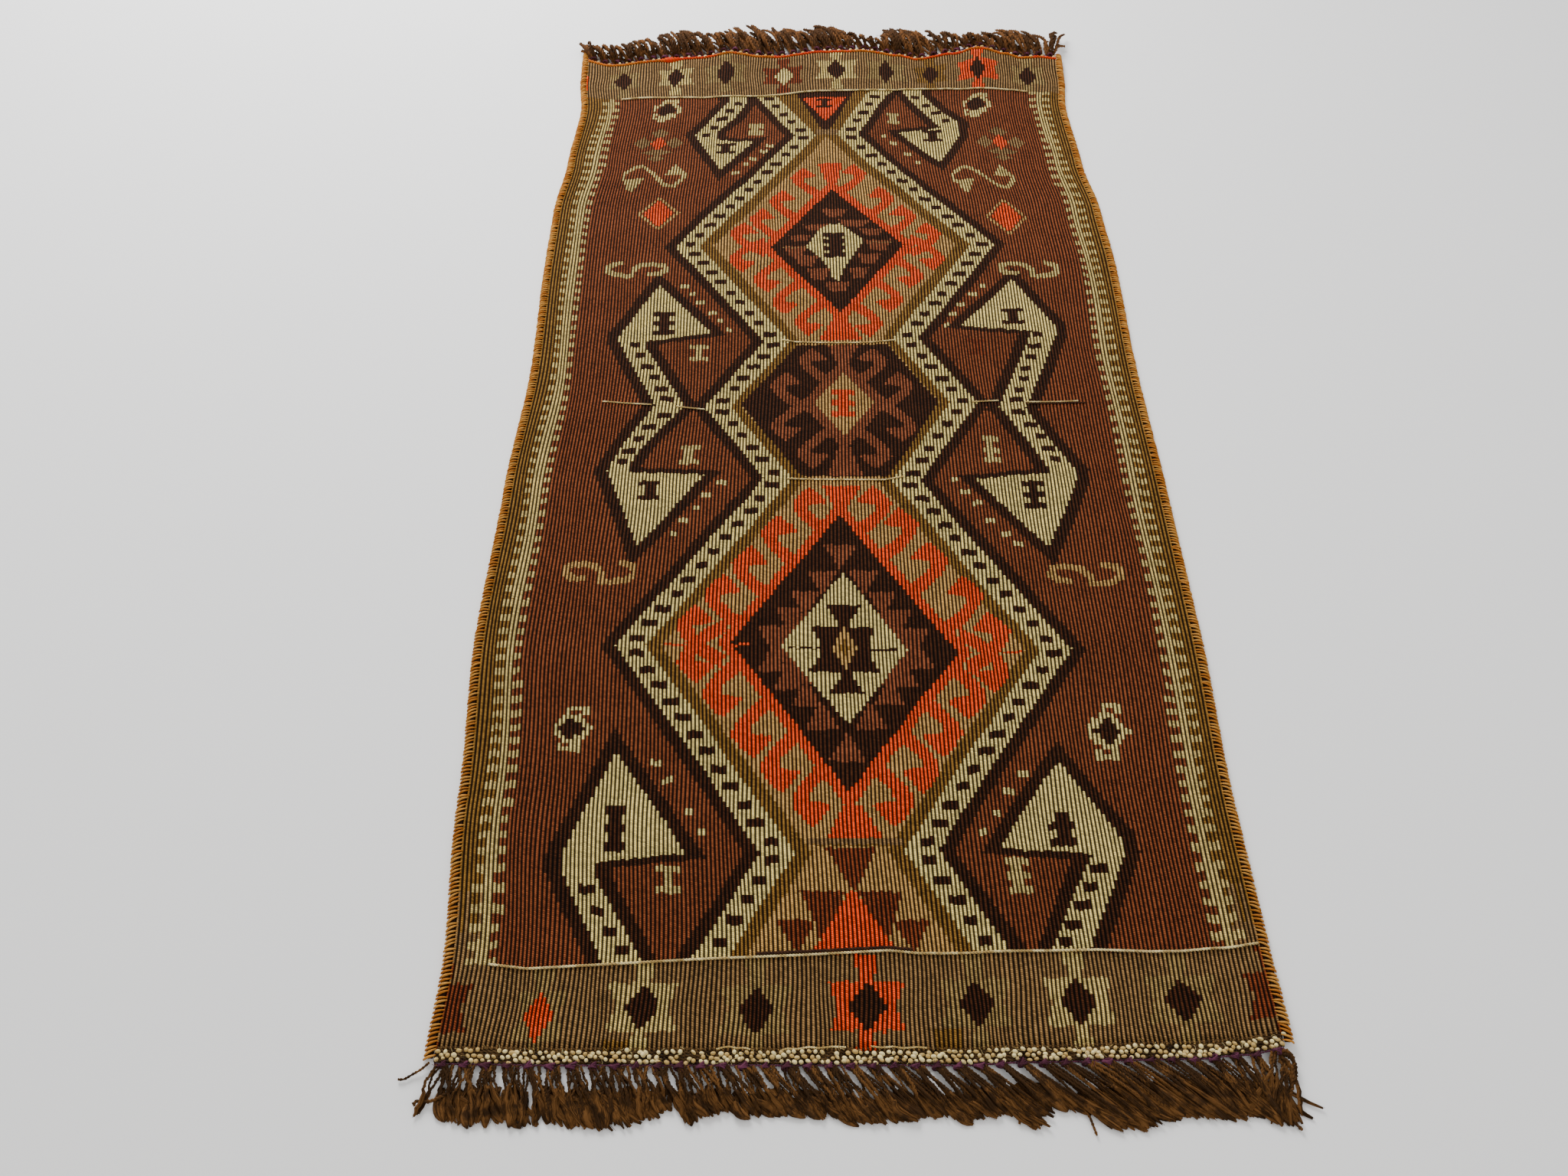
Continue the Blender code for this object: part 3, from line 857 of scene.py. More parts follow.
# The cloth: a rounded rib for each pair of warps, and the yarns of each stretch of rib
def gridFaces(columns, rows, first=0, turned=False):
    # quads of a grid of (columns + 1) x (rows + 1) points
    here = (np.arange(rows)[:, None] * (columns + 1) + np.arange(columns)[None, :] + first).reshape(-1)
    faces = np.stack([here, here + 1, here + columns + 2, here + columns + 1], axis=1)
    return faces[:, ::-1] if turned else faces


cloth = {"wander": 0.14, "endWander": 0.30, "seed": 3}  # how far a rib strays sideways, in parts


def ribWander(part, s):
    chance = np.random.default_rng(cloth["seed"])
    strayed = np.zeros(np.broadcast(part, s).shape)
    for _ in range(5):
        frequency, spread, phase = chance.uniform(8, 60), chance.uniform(0.1, 0.9), chance.uniform(0, 6)
        strayed += np.sin(frequency * s + spread * part + phase)
    ends = np.exp(-(((s - 0.03) / 0.03) ** 2)) + np.exp(-(((s - 1.12) / 0.03) ** 2))
    lean = np.sin(part / 2.3 + 60.0 * s) + np.sin(part / 3.7 - 90.0 * s + 2.0)
    strayed = cloth["wander"] * strayed / 2.0 + cloth["endWander"] * lean / 2.0 * ends
    return strayed * np.clip(part / 3, 0, 1) * np.clip((160 - part) / 3, 0, 1)


def runsOf(pattern):
    # for each row and rib: up to three yarns, and how far along the row the second and third begin
    cells = pattern.reshape(loom["rows"], loom["picksPerRow"], loom["ribs"])
    count = loom["picksPerRow"]
    place = np.arange(count)[None, :, None]
    first = cells[:, 0]
    start2 = np.where(cells != first[:, None], place, count).min(axis=1)
    second = np.take_along_axis(cells, np.minimum(start2, count - 1)[:, None], axis=1)[:, 0]
    later = (place > start2[:, None]) & (cells != second[:, None])
    start3 = np.where(later, place, count).min(axis=1)
    third = np.take_along_axis(cells, np.minimum(start3, count - 1)[:, None], axis=1)[:, 0]
    return first, second, third, start2 / count, start3 / count


def buildCloth():
    ribs, rows = loom["ribs"], loom["rows"]
    rowAt = np.linspace(rug["firstRow"], rug["lastRow"], rows + 1)
    fineRibs, fineRows = np.meshgrid(np.arange(2 * ribs + 1) / 2.0, rowAt)
    wideRibs, wideRows = np.meshgrid(np.arange(ribs + 1.0), rowAt)
    relief = np.where(np.arange(2 * ribs + 1) % 2, rug["crest"], rug["valley"])
    fineParts, wideParts = (places * rug["parts"] / ribs for places in (fineRibs, wideRibs))
    skirt = -rug["skirt"] * np.clip(1.0 - np.arange(rows + 1.0) / 4.0, 0, 1)[:, None]
    top = clothPoint(fineParts + ribWander(fineParts, fineRows), fineRows, relief[None, :], skirt)
    under = clothPoint(wideParts + ribWander(wideParts, wideRows), wideRows, 0.0, skirt)
    points = np.concatenate([top.reshape(-1, 3), under.reshape(-1, 3)])
    below = top.shape[0] * top.shape[1]
    topFaces = gridFaces(2 * ribs, rows)
    underFaces = gridFaces(ribs, rows, below, turned=True)
    step = np.arange(rows)
    left = np.stack([
        step * (2 * ribs + 1), (step + 1) * (2 * ribs + 1), below + (step + 1) * (ribs + 1), below + step * (ribs + 1),
    ], axis=1)
    right = left[:, ::-1] + np.array([ribs, ribs, 2 * ribs, 2 * ribs])
    ends = []
    for row, turned in ((0, False), (rows, True)):
        for k in range(ribs):
            low, high = below + row * (ribs + 1) + k, row * (2 * ribs + 1) + 2 * k
            face = (low, low + 1, high + 2, high + 1, high)
            ends.append(face[::-1] if turned else face)
    faces = [*topFaces.tolist(), *underFaces.tolist(), *left.tolist(), *right.tolist(), *ends]
    mesh = bpy.data.meshes.new("woven_cloth")
    mesh.from_pydata(points, [], faces)

    # yarns of each face
    ribOf = np.concatenate([
        np.tile(np.arange(2 * ribs) // 2, rows), np.tile(np.arange(ribs), rows),
        np.zeros(rows, int), np.full(rows, ribs - 1), np.arange(ribs), np.arange(ribs),
    ])
    rowOf = np.concatenate([
        np.repeat(step, 2 * ribs), np.repeat(step, ribs), step, step, np.zeros(ribs, int), np.full(ribs, rows - 1),
    ])
    palette = np.array([linear(*shade) for shade in yarns.values()])
    first, second, third, start2, start3 = runsOf(woven)
    for name, numbers, extra in (
        ("firstYarn", first, start2), ("secondYarn", second, start3), ("thirdYarn", third, None),
    ):
        shades = palette[numbers[rowOf, ribOf]]
        shades[:, 3] = rowOf if extra is None else extra[rowOf, ribOf]
        setLayer(mesh, name, "FLOAT_COLOR", "FACE", shades.astype(np.float32).reshape(-1))

    # u counts ribs, v counts rows; the bake's own map leaves the underside a quarter
    nominal = np.concatenate([
        np.stack([fineRibs.reshape(-1), np.repeat(np.arange(rows + 1.0), 2 * ribs + 1)], axis=1),
        np.stack([wideRibs.reshape(-1), np.repeat(np.arange(rows + 1.0), ribs + 1)], axis=1),
    ])
    corner = np.empty(len(mesh.loops), np.int32)
    mesh.loops.foreach_get("vertex_index", corner)
    uv = nominal[corner]
    mesh.uv_layers.new(name="weaveMap").data.foreach_set("uv", uv.astype(np.float32).reshape(-1))
    share = uv / (ribs, rows)
    share[:, 1] = np.where(corner < below, 0.26 + 0.74 * share[:, 1], 0.24 * share[:, 1])
    mesh.uv_layers.new(name="OFBake").data.foreach_set("uv", share.astype(np.float32).reshape(-1))

    edges = np.empty(2 * len(mesh.edges), np.int32)
    mesh.edges.foreach_get("vertices", edges)
    edges = edges.reshape(-1, 2)
    column = edges % (2 * ribs + 1)
    valley = (edges < below).all(axis=1) & (column[:, 0] == column[:, 1]) & (column[:, 0] % 2 == 0)
    rim = (edges < below).any(axis=1) & (edges >= below).any(axis=1)
    setLayer(mesh, "sharp_edge", "BOOLEAN", "EDGE", valley | rim)
    mesh.polygons.foreach_set("use_smooth", np.ones(len(mesh.polygons), bool))
    return addPiece("woven_cloth", mesh, wovenWool())


wool = {
    "pickPitch": 4.6,  # picks that can be told apart to a row
    "tone": 1.42,
    "patches": 0.4,
    "ribs": 0.2,
    "fibres": 0.5,
    # painted shade: how bright the valleys between ribs stay, and how far the dips between picks darken
    "paintedValleyShade": 0.03,
    "paintedPickShade": 0.52,
    "speckle": 0.85,
    "streaks": 0.95,
    "abrash": 0.36,
    "relief": 0.0008,
}


def wovenWool():
    finish = Finish("woven_wool", 0.95, 0.08)
    where = finish.where
    across = finish.add("ShaderNodeSeparateXYZ", None, {0: finish.add("ShaderNodeUVMap", {"uv_map": "weaveMap"})})
    down = finish.other(across, 1)
    shades = [finish.read(name, "Color") for name in ("firstYarn", "secondYarn", "thirdYarn")]
    start2, start3, row = (finish.other(shade, "Alpha") for shade in shades)
    ahead = down - row
    colour = finish.mixColours(ahead.maths("GREATER_THAN", start2), shades[0], shades[1])
    colour = finish.mixColours(ahead.maths("GREATER_THAN", start3), colour, shades[2])

    # each pick is a grain across its rib; painted shade darkens the valley beside it and the dip between picks
    phase, ribNumber = across.maths("FRACT"), across.maths("FLOOR")
    side = abs(phase * 2.0 - 1.0)  # 0 on the crest, 1 in the valley
    strays = (finish.noise(where, 160.0, 2.0) - 0.5) * 1.2
    beadAt = down * wool["pickPitch"] + ribNumber * 0.5 + phase * 0.7 + strays
    bead = abs(beadAt.maths("FRACT") * 2.0 - 1.0)  # 1 between two picks
    cell = finish.vector(ribNumber, beadAt.maths("FLOOR"), 0.5)
    ownTone = finish.add("ShaderNodeTexWhiteNoise", {"noise_dimensions": "3D"}, {"Vector": cell})
    ribTone = finish.add("ShaderNodeTexWhiteNoise", {"noise_dimensions": "1D"}, {"W": ribNumber + 0.5})
    fibre = finish.noise(where, 2600.0, 2.0)
    banded = finish.add("ShaderNodeMapping", None, {"Vector": where, "Scale": (2.0, 60.0, 2.0)})
    lots = (finish.noise(banded, 1.0, 4.0, 0.6) - 0.5) * (wool["abrash"] * 2.0)
    lots = lots + (finish.noise(where, 24.0) - 0.5) * wool["patches"]
    streak = finish.noise(finish.vector(ribNumber * 7.3, down * 0.7, 1.5), 1.0, 3.0, 0.7)
    tone = wool["tone"] + lots + (ownTone - 0.5) * wool["speckle"] + (ribTone - 0.5) * wool["ribs"]
    tone = tone + (fibre - 0.5) * wool["fibres"] + (streak - 0.5) * wool["streaks"]
    # painted shade: the colour darkens down each valley between ribs and in the dip between two picks
    gap = finish.steps(side, 0.12, 0.82)
    between = finish.steps(bead + side * 0.25, 0.55, 1.1)
    tone = tone * (1.0 - gap * (1.0 - wool["paintedValleyShade"])) * (1.0 - between * wool["paintedPickShade"])
    finish.feed("Base Color", finish.vectors("SCALE", colour, tone))
    finish.feed("Roughness", 0.88 + (fibre - 0.5) * 0.2)
    height = (1.0 - bead * bead) * 0.6 * (1.0 - gap) + fibre * 0.35 - gap * 0.6 + ownTone * 0.15
    finish.bump(height, wool["relief"])
    return finish.material


wovenCloth = buildCloth()
fasten(wovenCloth, "woven_wool", "kilim_cloth")
print("cloth:", len(wovenCloth.data.polygons), "faces")


# Yarns: paths become plies twisted round each other, locks of wool or single fibres
def yarnFinish(name, shade, second, speck=0.35):
    # two colours of wool, with fibres that run along the yarn
    finish = Finish(name, 0.9, 0.1)
    tone, around, along = (finish.read(name) for name in ("tone", "around", "along"))
    lengthwise = finish.vector(around * 3.0 + along * 260.0, along * 130.0, tone * 40.0)
    fibre = finish.noise(lengthwise, 1.6, 3.0, 0.65)
    grain = finish.noise(finish.where, 2200.0, 2.0)
    patches = finish.noise(finish.where, 130.0)
    patches = finish.steps(patches + (tone - 0.5) * 0.5, 0.35, 0.65)
    colour = finish.mixColours(patches, linear(*shade), linear(*second))
    level = 0.80 + tone * 0.4 + (fibre - 0.5) * (2.4 * speck) + (grain - 0.5) * speck
    finish.feed("Base Color", finish.vectors("SCALE", colour, level))
    finish.feed("Roughness", 0.84 + fibre * 0.12)
    finish.bump(fibre + grain * 0.4, 0.0005)
    return finish.material


def plyTree():
    # each path becomes two twisted plies; "thick" is a ply's radius at each point
    grower = Grower("twisted yarn", step=0.0012, pitch=0.006, sides=5)
    curve, thick = grower.curve("step"), grower.named("thick")
    along = grower.add("GeometryNodeSplineParameter", None, None, 1)
    normal = grower.add("GeometryNodeInputNormal")
    sideways = grower.vectors("CROSS_PRODUCT", grower.add("GeometryNodeInputTangent"), normal)
    plies = []
    for ply in (0.0, 0.5):
        turn = (along / grower.given("pitch") + ply) * (2.0 * math.pi)
        ahead = grower.vectors("SCALE", normal, turn.maths("COSINE") * thick * 0.9)
        beside = grower.vectors("SCALE", sideways, turn.maths("SINE") * thick * 0.9)
        sockets = {0: curve, "Offset": grower.vectors("ADD", ahead, beside)}
        strand = grower.add("GeometryNodeSetPosition", None, sockets)
        plies.append(grower.tube(strand, grower.given("sides"), thick))
    grower.close(grower.together(plies))
    return grower


def tubeTree(name, flat=1.0, groove=0.0, sides=3):
    # each path becomes one tube, "thick" its half width: a fibre, or a flat grooved lock of wool
    grower = Grower(name, flat=flat, groove=groove, sides=sides)
    flat, groove, sides = (grower.given(label) for label in ("flat", "groove", "sides"))
    grower.close(grower.tube(grower.curve(), sides, grower.named("thick"), flat, groove))
    return grower


twistedYarn, looseFibre, woolLock = plyTree(), tubeTree("loose fibre"), tubeTree("wool lock", 0.4, 0.25, 10)


class Bundle:
    # paths on their way to a tree, each with its thickness and tone
    def __init__(self):
        self.paths, self.thick, self.tones = [], [], []

    def add(self, path, thick, tone):
        self.paths.append(path)
        self.thick.append(np.broadcast_to(thick, len(path)))
        self.tones.append(np.broadcast_to(tone, len(path)))

    def grow(self, tree, name, material, **values):
        return tree.make(name, pathMesh(name, self.paths, thick=self.thick, tone=self.tones), material, **values)


def spun(name, paths, thick, tone, material, **values):
    bundle = Bundle()
    for path in paths:
        bundle.add(path, thick, tone)
    return bundle.grow(twistedYarn, name, material, **values)


def joined(name, pieces):
    # several meshes as one piece; materials are kept
    with bpy.context.temp_override(
        active_object=pieces[0], selected_editable_objects=pieces, object=pieces[0], selected_objects=pieces
    ):
        bpy.ops.object.join()
    pieces[0].name = pieces[0].data.name = name
    return pieces[0]


# Overcast binding down each side
binding = {
    "pitch": 0.0030,
    "yarn": 0.00070,
    "slant": 0.0026,
    "high": 0.0066,
    "low": 0.0028,
    "foot": 0.0011,  # how high a stitch ends at the outer side
    "inner": 0.0052,  # how far a stitch reaches over the cloth
    "outer": 0.0029,
    "pastNear": 0.0080,
    "pastFar": {"left": 0.0150, "right": 0.0080},
    "cores": ((0.0, 0.0018, 0.0018, 0.5), (0.0021, 0.0016, 0.0013, 0.2)),  # inwards, height, radius, tone
    "shade": (206, 146, 66),
    "second": (160, 98, 36),
    # the cord's very dark brown is partly its own colour and partly painted shade in the gaps between stitches
    "core": (52, 32, 18),
    "coreSecond": (48, 30, 16),
}


def stitchTree():
    # stitches over a cord: each an arch across the path, its inner end lying on the cloth
    sizes = {name: 0.003 for name in ("pitch", "yarn", "inner", "outer", "high", "slant", "low")}
    grower = Grower("overcast stitches", **sizes, seed=1)
    slant, outer = grower.given("slant"), grower.given("outer")
    arch = grower.add("GeometryNodeCurveQuadraticBezier", None, {
        "Resolution": 8,
        "Start": grower.vector(grower.given("inner"), slant * 0.7, grower.given("low")),
        "Middle": grower.vector(outer * 0.1, 0.0, grower.given("high")),
        "End": grower.vector(outer, slant * -0.4, binding["foot"]),
    })
    factor = grower.add("GeometryNodeSplineParameter")
    stitch = grower.tube(arch, 6, grower.given("yarn") * (0.55 + 0.75 * (factor * 2.6).maths("SINE")))
    tangent = {"Vector": grower.add("GeometryNodeInputTangent")}
    aligned = grower.add("FunctionNodeAlignRotationToVector", {"axis": "Y"}, tangent)
    turn = grower.vector(grower.random(-0.05, 0.05, 1), grower.random(-0.04, 0.04, 2), grower.random(-0.2, 0.2, 3))
    aligned = grower.add("FunctionNodeRotateRotation", {"rotation_space": "LOCAL"}, {0: aligned, 1: turn})
    size = grower.random(0.92, 1.06, 4)
    grower.close(grower.scatter(grower.curve("pitch"), stitch, aligned, grower.vector(size, size, size)))
    return grower


def buildBindings():
    overcast = stitchTree()
    yarn = yarnFinish("overcast_yarn", binding["shade"], binding["second"])
    cord = yarnFinish("selvedge_cord", binding["core"], binding["coreSecond"])
    sizes = {name: binding[name] for name in ("pitch", "yarn", "slant", "high", "low")}
    for name, edge, side in (("left", 0.0, -1), ("right", 160.0, 1)):
        s = np.linspace(rug["firstRow"] - binding["pastNear"], rug["lastRow"] + binding["pastFar"][name], 240)
        inside = np.clip(s, rug["firstRow"], rug["lastRow"])
        middle = side * (rug["gap"] + 0.45 * rug["bindingWidth"])
        path = clothPoint(edge, inside) + np.stack([np.full_like(s, middle), s - inside, np.zeros_like(s)], axis=1)
        inner, outer = -side * binding["inner"], side * binding["outer"]
        stitches = pathMesh(f"edge_{name}", [path])
        stitches = overcast.make(f"overcast_{name}", stitches, yarn, inner=inner, outer=outer, seed=3 + side, **sizes)
        fasten(stitches, "overcast_yarn", f"binding_{name}")
        core = Bundle()
        for inwards, high, thick, tone in binding["cores"]:
            core.add(path + (-side * inwards, 0.0, high), thick, tone)
        fasten(core.grow(looseFibre, f"selvedge_{name}", cord, sides=8), "overcast_yarn")


buildBindings()

# Twined headings, and the lines raised across the cloth
heading = {
    "rows": 3,
    "bead": 0.0019,
    "every": 1.26,
    "height": 0.0030,
    "ground": 0.0017,
    "missing": 0.08,
    "fuzz": 150,
    "ivory": (238, 220, 160),
    "second": (172, 144, 88),
    "seed": 12,
}
lineYarn = {"ply": 0.00055, "pitch": 0.0046, "step": 0.0009, "every": 0.35, "above": 0.0006}
ivoryYarn = yarnFinish("ivory_twining", heading["ivory"], heading["second"], 0.25)
redYarn = yarnFinish("red_twining", (206, 54, 8), (168, 92, 26))
# dark yarn: the dark line beside the near ivory line, and a painted shadow beside a fine ivory line
darkYarnAndPaintedShadow = yarnFinish("dark_weft", (46, 28, 20), (66, 40, 26))
purpleYarn = yarnFinish("purple_thread", (100, 52, 74), (66, 34, 44), 0.4)


def beadTree():
    # the short turns of a twined row: slanted grains at each point of the path
    grower = Grower("twined row", size=0.0019, slant=0.5, seed=1)
    grain = grower.smooth(grower.add("GeometryNodeMeshUVSphere", None, {"Segments": 8, "Rings": 6, "Radius": 1.0}))
    turn = grower.vector(0.0, 0.0, grower.given("slant") + grower.random(-0.5, 0.5, 1))
    spans = ((0.72, 1.2), (0.6, 0.92), (0.7, 1.05))
    scale = [grower.given("size") * grower.random(*span, number) for number, span in enumerate(spans, 2)]
    grower.close(grower.scatter(grower.given("Geometry"), grain, turn, grower.vector(*scale)))
    return grower


def strayed(start, chance, length):
    # a short loose fibre from a point on the surface
    turn = chance.uniform(0.0, 2.0 * math.pi) + np.cumsum(chance.normal(0.0, 0.35, 5))
    steps = np.stack([np.cos(turn), np.sin(turn), chance.uniform(-0.3, 0.5, 5) * 0.3], axis=1)
    path = np.concatenate([np.zeros((1, 3)), np.cumsum(steps, axis=0)])
    return start + path * length * chance.uniform(0.5, 1.0) / 5.0


def buildNearHeading():
    chance = np.random.default_rng(heading["seed"])
    rows = []
    for row in range(heading["rows"]):
        parts = np.arange(0.8 + row % 2 * 0.5 * heading["every"], 159.6, heading["every"])
        parts = parts + chance.normal(0.0, 0.17, len(parts))
        parts = parts[chance.uniform(0.0, 1.0, len(parts)) > heading["missing"]]
        out = -rug["skirt"] - (rug["nearHeading"] - rug["skirt"]) * (row + 0.55) / heading["rows"]
        out = out + chance.normal(0.0, 0.00045, len(parts)) + 0.0005 * np.sin(parts / 5.0 + row)
        above = heading["height"] + chance.normal(0.0, 0.0003, len(parts))
        rows.append(clothPoint(parts, rug["firstRow"], above, out))
    grains = pathMesh("near_grains", rows)
    grains = beadTree().make("near_grains", grains, ivoryYarn, size=heading["bead"], slant=-0.35, seed=2)
    parts = np.linspace(0.3, 159.7, 180)
    outs = -rug["gap"] - rug["nearHeading"] * (np.arange(5) + 0.5) / 5.0
    ground = [clothPoint(parts, rug["firstRow"], heading["ground"], out) for out in outs]
    brown = yarnFinish("heading_weft", (84, 62, 36), (44, 30, 16))
    wefts = spun("near_wefts", ground, 0.0008, 0.5, brown, step=0.0022, pitch=0.007)
    fuzz = Bundle()
    for part in chance.uniform(0.5, 159.0, heading["fuzz"]):
        start = clothPoint(part, rug["firstRow"], 0.0040, -chance.uniform(0.0005, 0.0105))
        fuzz.add(strayed(start, chance, 0.0048), 0.00013, chance.uniform(0.2, 1.0))
    fuzz = fuzz.grow(looseFibre, "near_fuzz", ivoryYarn)
    return fasten(joined("heading_twining_near", [grains, wefts, fuzz]), "ivory_twining", "heading_near")


def buildFarHeading():
    chance = np.random.default_rng(heading["seed"] + 1)
    ribs = np.linspace(0.4, 159.6, 260)
    thick = 0.00095 + 0.0014 * np.exp(-(((ribs - 28.0) / 2.6) ** 2))
    tone = 0.5 + 0.3 * np.sin(ribs / 7.0) + 1.0 * np.exp(-((ribs / 13.0) ** 2))
    above, out = 0.0029 + 0.0002 * np.sin(ribs * 1.9), 0.0013 + 0.0003 * np.sin(ribs * 0.83)
    path = clothPoint(ribs, rug["lastRow"], above, out)
    cord = spun("far_red", [path], thick, tone, redYarn, step=0.0014, pitch=0.0075, sides=6)
    bumpAt = np.cumsum(chance.uniform(1.8, 4.0, 54))
    bumpAt = bumpAt[bumpAt < 159.0]
    bumps = pathMesh("far_ivory", [clothPoint(bumpAt, rug["lastRow"], 0.0030, 0.0033)])
    bumps = beadTree().make("far_ivory", bumps, ivoryYarn, size=0.0022, slant=0.15, seed=5)
    under = [clothPoint(ribs, rug["lastRow"], 0.0014, out) for out in (0.0015, 0.0036)]
    brown = yarnFinish("far_weft", (112, 84, 58), (84, 56, 40))
    wefts = spun("far_wefts", under, 0.0006, 0.4, brown, step=0.0022, pitch=0.007)
    return fasten(joined("heading_twining_far", [cord, bumps, wefts]), "red_twining", "heading_far")


def lineAcross(line, start, end, above, back=0.0):
    # a path over the tops of the ribs, along a line given as (rib, mm)
    ribs = np.arange(start, end + 1e-6, lineYarn["every"])
    s = alongAt(line, ribs) / 1000.0 + back
    return clothPoint(ribs, s, above - 0.0002 * np.cos(2.0 * np.pi * ribs))


fineLines = (  # thin twined lines on the surface, as (rib, mm)
    ((66, 681), (70, 678), (80, 677), (90, 678), (97, 681)), ((68, 504), (75, 503), (92, 503), (97, 507)),
    ((19, 597.5), (25, 595), (32, 593.5)), ((38.5, 592), (42, 590), (46, 588.5)), ((116, 598), (123, 600)),
    ((130, 598.5), (138, 599), (144, 600)),
)
looseLines = (  # ends of ivory thread along the near heading
    ((53, 9.5), (54.2, 10.8), (55.5, 11.2), (56.8, 10.2), (58.4, 10.4), (59.5, 9.2)),
    ((65, 8.6), (66.3, 10.0), (68.1, 9.6), (70.2, 10.9), (72.4, 10.3), (74.7, 11.2), (77.5, 10.8)),
    ((82, 11.4), (84.0, 10.6), (86.2, 11.2), (88.1, 10.2), (90.6, 10.9), (92.8, 10.3)),
)


def buildLines():
    top = rug["crest"] + lineYarn["above"]
    size, pitch, step = lineYarn["ply"], lineYarn["pitch"], lineYarn["step"]
    near = lineAcross(endLines["near"], 7.5, 159.6, top)
    dark = lineAcross(endLines["near"], 60.0, 91.0, top + 0.0001, 0.0022)
    far = lineAcross(endLines["far"], 12.0, 149.0, top)
    ivory = spun("line_near", [near], size, 0.5, ivoryYarn, step=step, pitch=pitch)
    black = spun("line_dark", [dark], 1.3 * size, 0.5, darkYarnAndPaintedShadow, step=step, pitch=pitch)
    fasten(joined("raised_line_near", [ivory, black]), "ivory_twining", "twined_line_near")
    raised = spun("raised_line_far", [far], 1.05 * size, 0.5, ivoryYarn, step=step, pitch=pitch)
    fasten(raised, "ivory_twining", "twined_line_far")
    lines = (*fineLines, *looseLines)
    light = [lineAcross(line, line[0][0], line[-1][0], rug["crest"] + 0.0003) for line in lines]
    # painted shadow: a dark thread just nearer than the fine ivory line at ribs 130 to 146
    shadow = lineAcross([(130, 596.5), (146, 598)], 130, 146, rug["crest"] + 0.0001)
    light = spun("fine_light", light, 0.00042, 0.6, ivoryYarn, step=step, pitch=0.0036)
    shadow = spun("fine_painted_shadow", [shadow], 0.0004, 0.5, darkYarnAndPaintedShadow, step=step, pitch=0.0036)
    fasten(joined("fine_lines", [light, shadow]), "ivory_twining")


buildNearHeading()
buildFarHeading()
buildLines()

# Fringes: at each knot a bunch of strands; near, they open into felted locks
knotting = {
    "count": 40,
    "wrap": 0.0008,
    "size": 0.0026,
    "past": 0.0014,  # from the heading to the middle of a knot
    "bunch": 0.0090,
    "high": 0.0037,
    "fuzz": 8,
    "seed": 5,
}
nearFringe = {
    "row": rug["firstRow"],
    "outward": -1,
    "heading": rug["nearHeading"],
    "strands": 9,
    "points": 44,  # along a strand
    "loose": 36,  # of those points, before it is lost in the felt
    "ply": 0.00074,
    "pitch": 0.0052,
    "lock": 0.0018,
    "felted": 170,
    "broad": 110,
    "fibres": 850,  # over each metre of a lock's half width
    "seed": 21,
    "shade": (110, 74, 38),
    "second": (52, 34, 17),
}
nearLean = metres((  # x, how far the strands lean to the right for each metre of reach
    (-290, -0.15), (-265, 0.1), (-212, 0.35), (-127, 0.5), (-60, 0.75), (0, 0.9), (50, 1.05), (100, 1.25), (160, 1.4),
    (205, 1.35), (235, 0.95), (262, 0.45), (290, -0.35),
), 1)
nearEdge = metres((  # x, s of the felted wool's scalloped edge
    (-285, -34), (-272, -36), (-258, -40), (-245, -40), (-236, -34), (-225, -40), (-211, -41), (-205, -37),
    (-191, -40), (-166, -41.5), (-143, -36.5), (-126, -29), (-120, -32), (-116.5, -40), (-111, -39), (-107, -34),
    (-88, -30), (-68, -34), (-52, -32), (-18, -35), (3, -39), (22, -36.5), (54, -34), (61, -31), (68.5, -38.5),
    (75, -36), (98, -32), (106, -32), (110, -40), (117, -41), (123, -32), (131, -30), (148, -30), (158, -33),
    (166, -44.5), (177, -41), (197, -40), (206, -35), (223, -34.5), (246, -36.5), (264, -33), (277, -39), (286, -37),
))
feltBegins = ((-0.23, -0.10, 0.06, 0.16), (14, 20, 20, 14))  # x, and the point of a strand where its felt begins
nearStrays = (  # ends that lie apart: how thick each ply is, then x, s and height, in millimetres
    (0.6, (-287, 1, 4), (-292, -3.5, 3), (-297.5, -6, 2), (-302.5, -9.5, 1.8), (-306.6, -9.2, 1.8)),
    (0.8, (-270, -17, 4), (-278.9, -22.2, 4), (-285, -23.8, 3), (-290.5, -22.4, 3), (-294.2, -23.6, 2.6),
     (-292.5, -25.6, 2.4)),
    (0.6, (144, -24, 3), (150.9, -31.7, 2), (152.6, -37.8, 1.6), (154.2, -43.7, 1.6)),
    (1, (285, 6, 5), (290.5, 5, 5), (293.5, 0, 4), (292.5, -7, 3), (289.5, -12, 2.6)),
    (1, (284, 8, 4.6), (289.5, 8.5, 5), (292.5, 5, 4.6), (293, -1, 3.4), (290, -6, 3)),
    (1, (284, 4, 5.6), (288, 1.5, 5.6), (290.5, -3.5, 5), (290, -10, 4), (287, -16, 3)),
    (1, (283, 2, 4.6), (286, -2, 4.6), (288.5, -8, 4), (288, -15, 3.4), (285, -20, 3)),
    (0.8, (279, -20, 4), (283, -29, 3), (285.5, -37, 2), (289, -40.5, 1.8)),
)
farFringe = {
    "row": rug["lastRow"],
    "outward": 1,
    "heading": rug["farHeading"],
    "strands": 8,
    "points": 14,
    "curl": 0.008,
    "ply": 0.00128,
    "pitch": 0.0090,
    "fibres": 6,
    "seed": 22,
    "shade": (112, 72, 38),
    "second": (60, 38, 19),
}
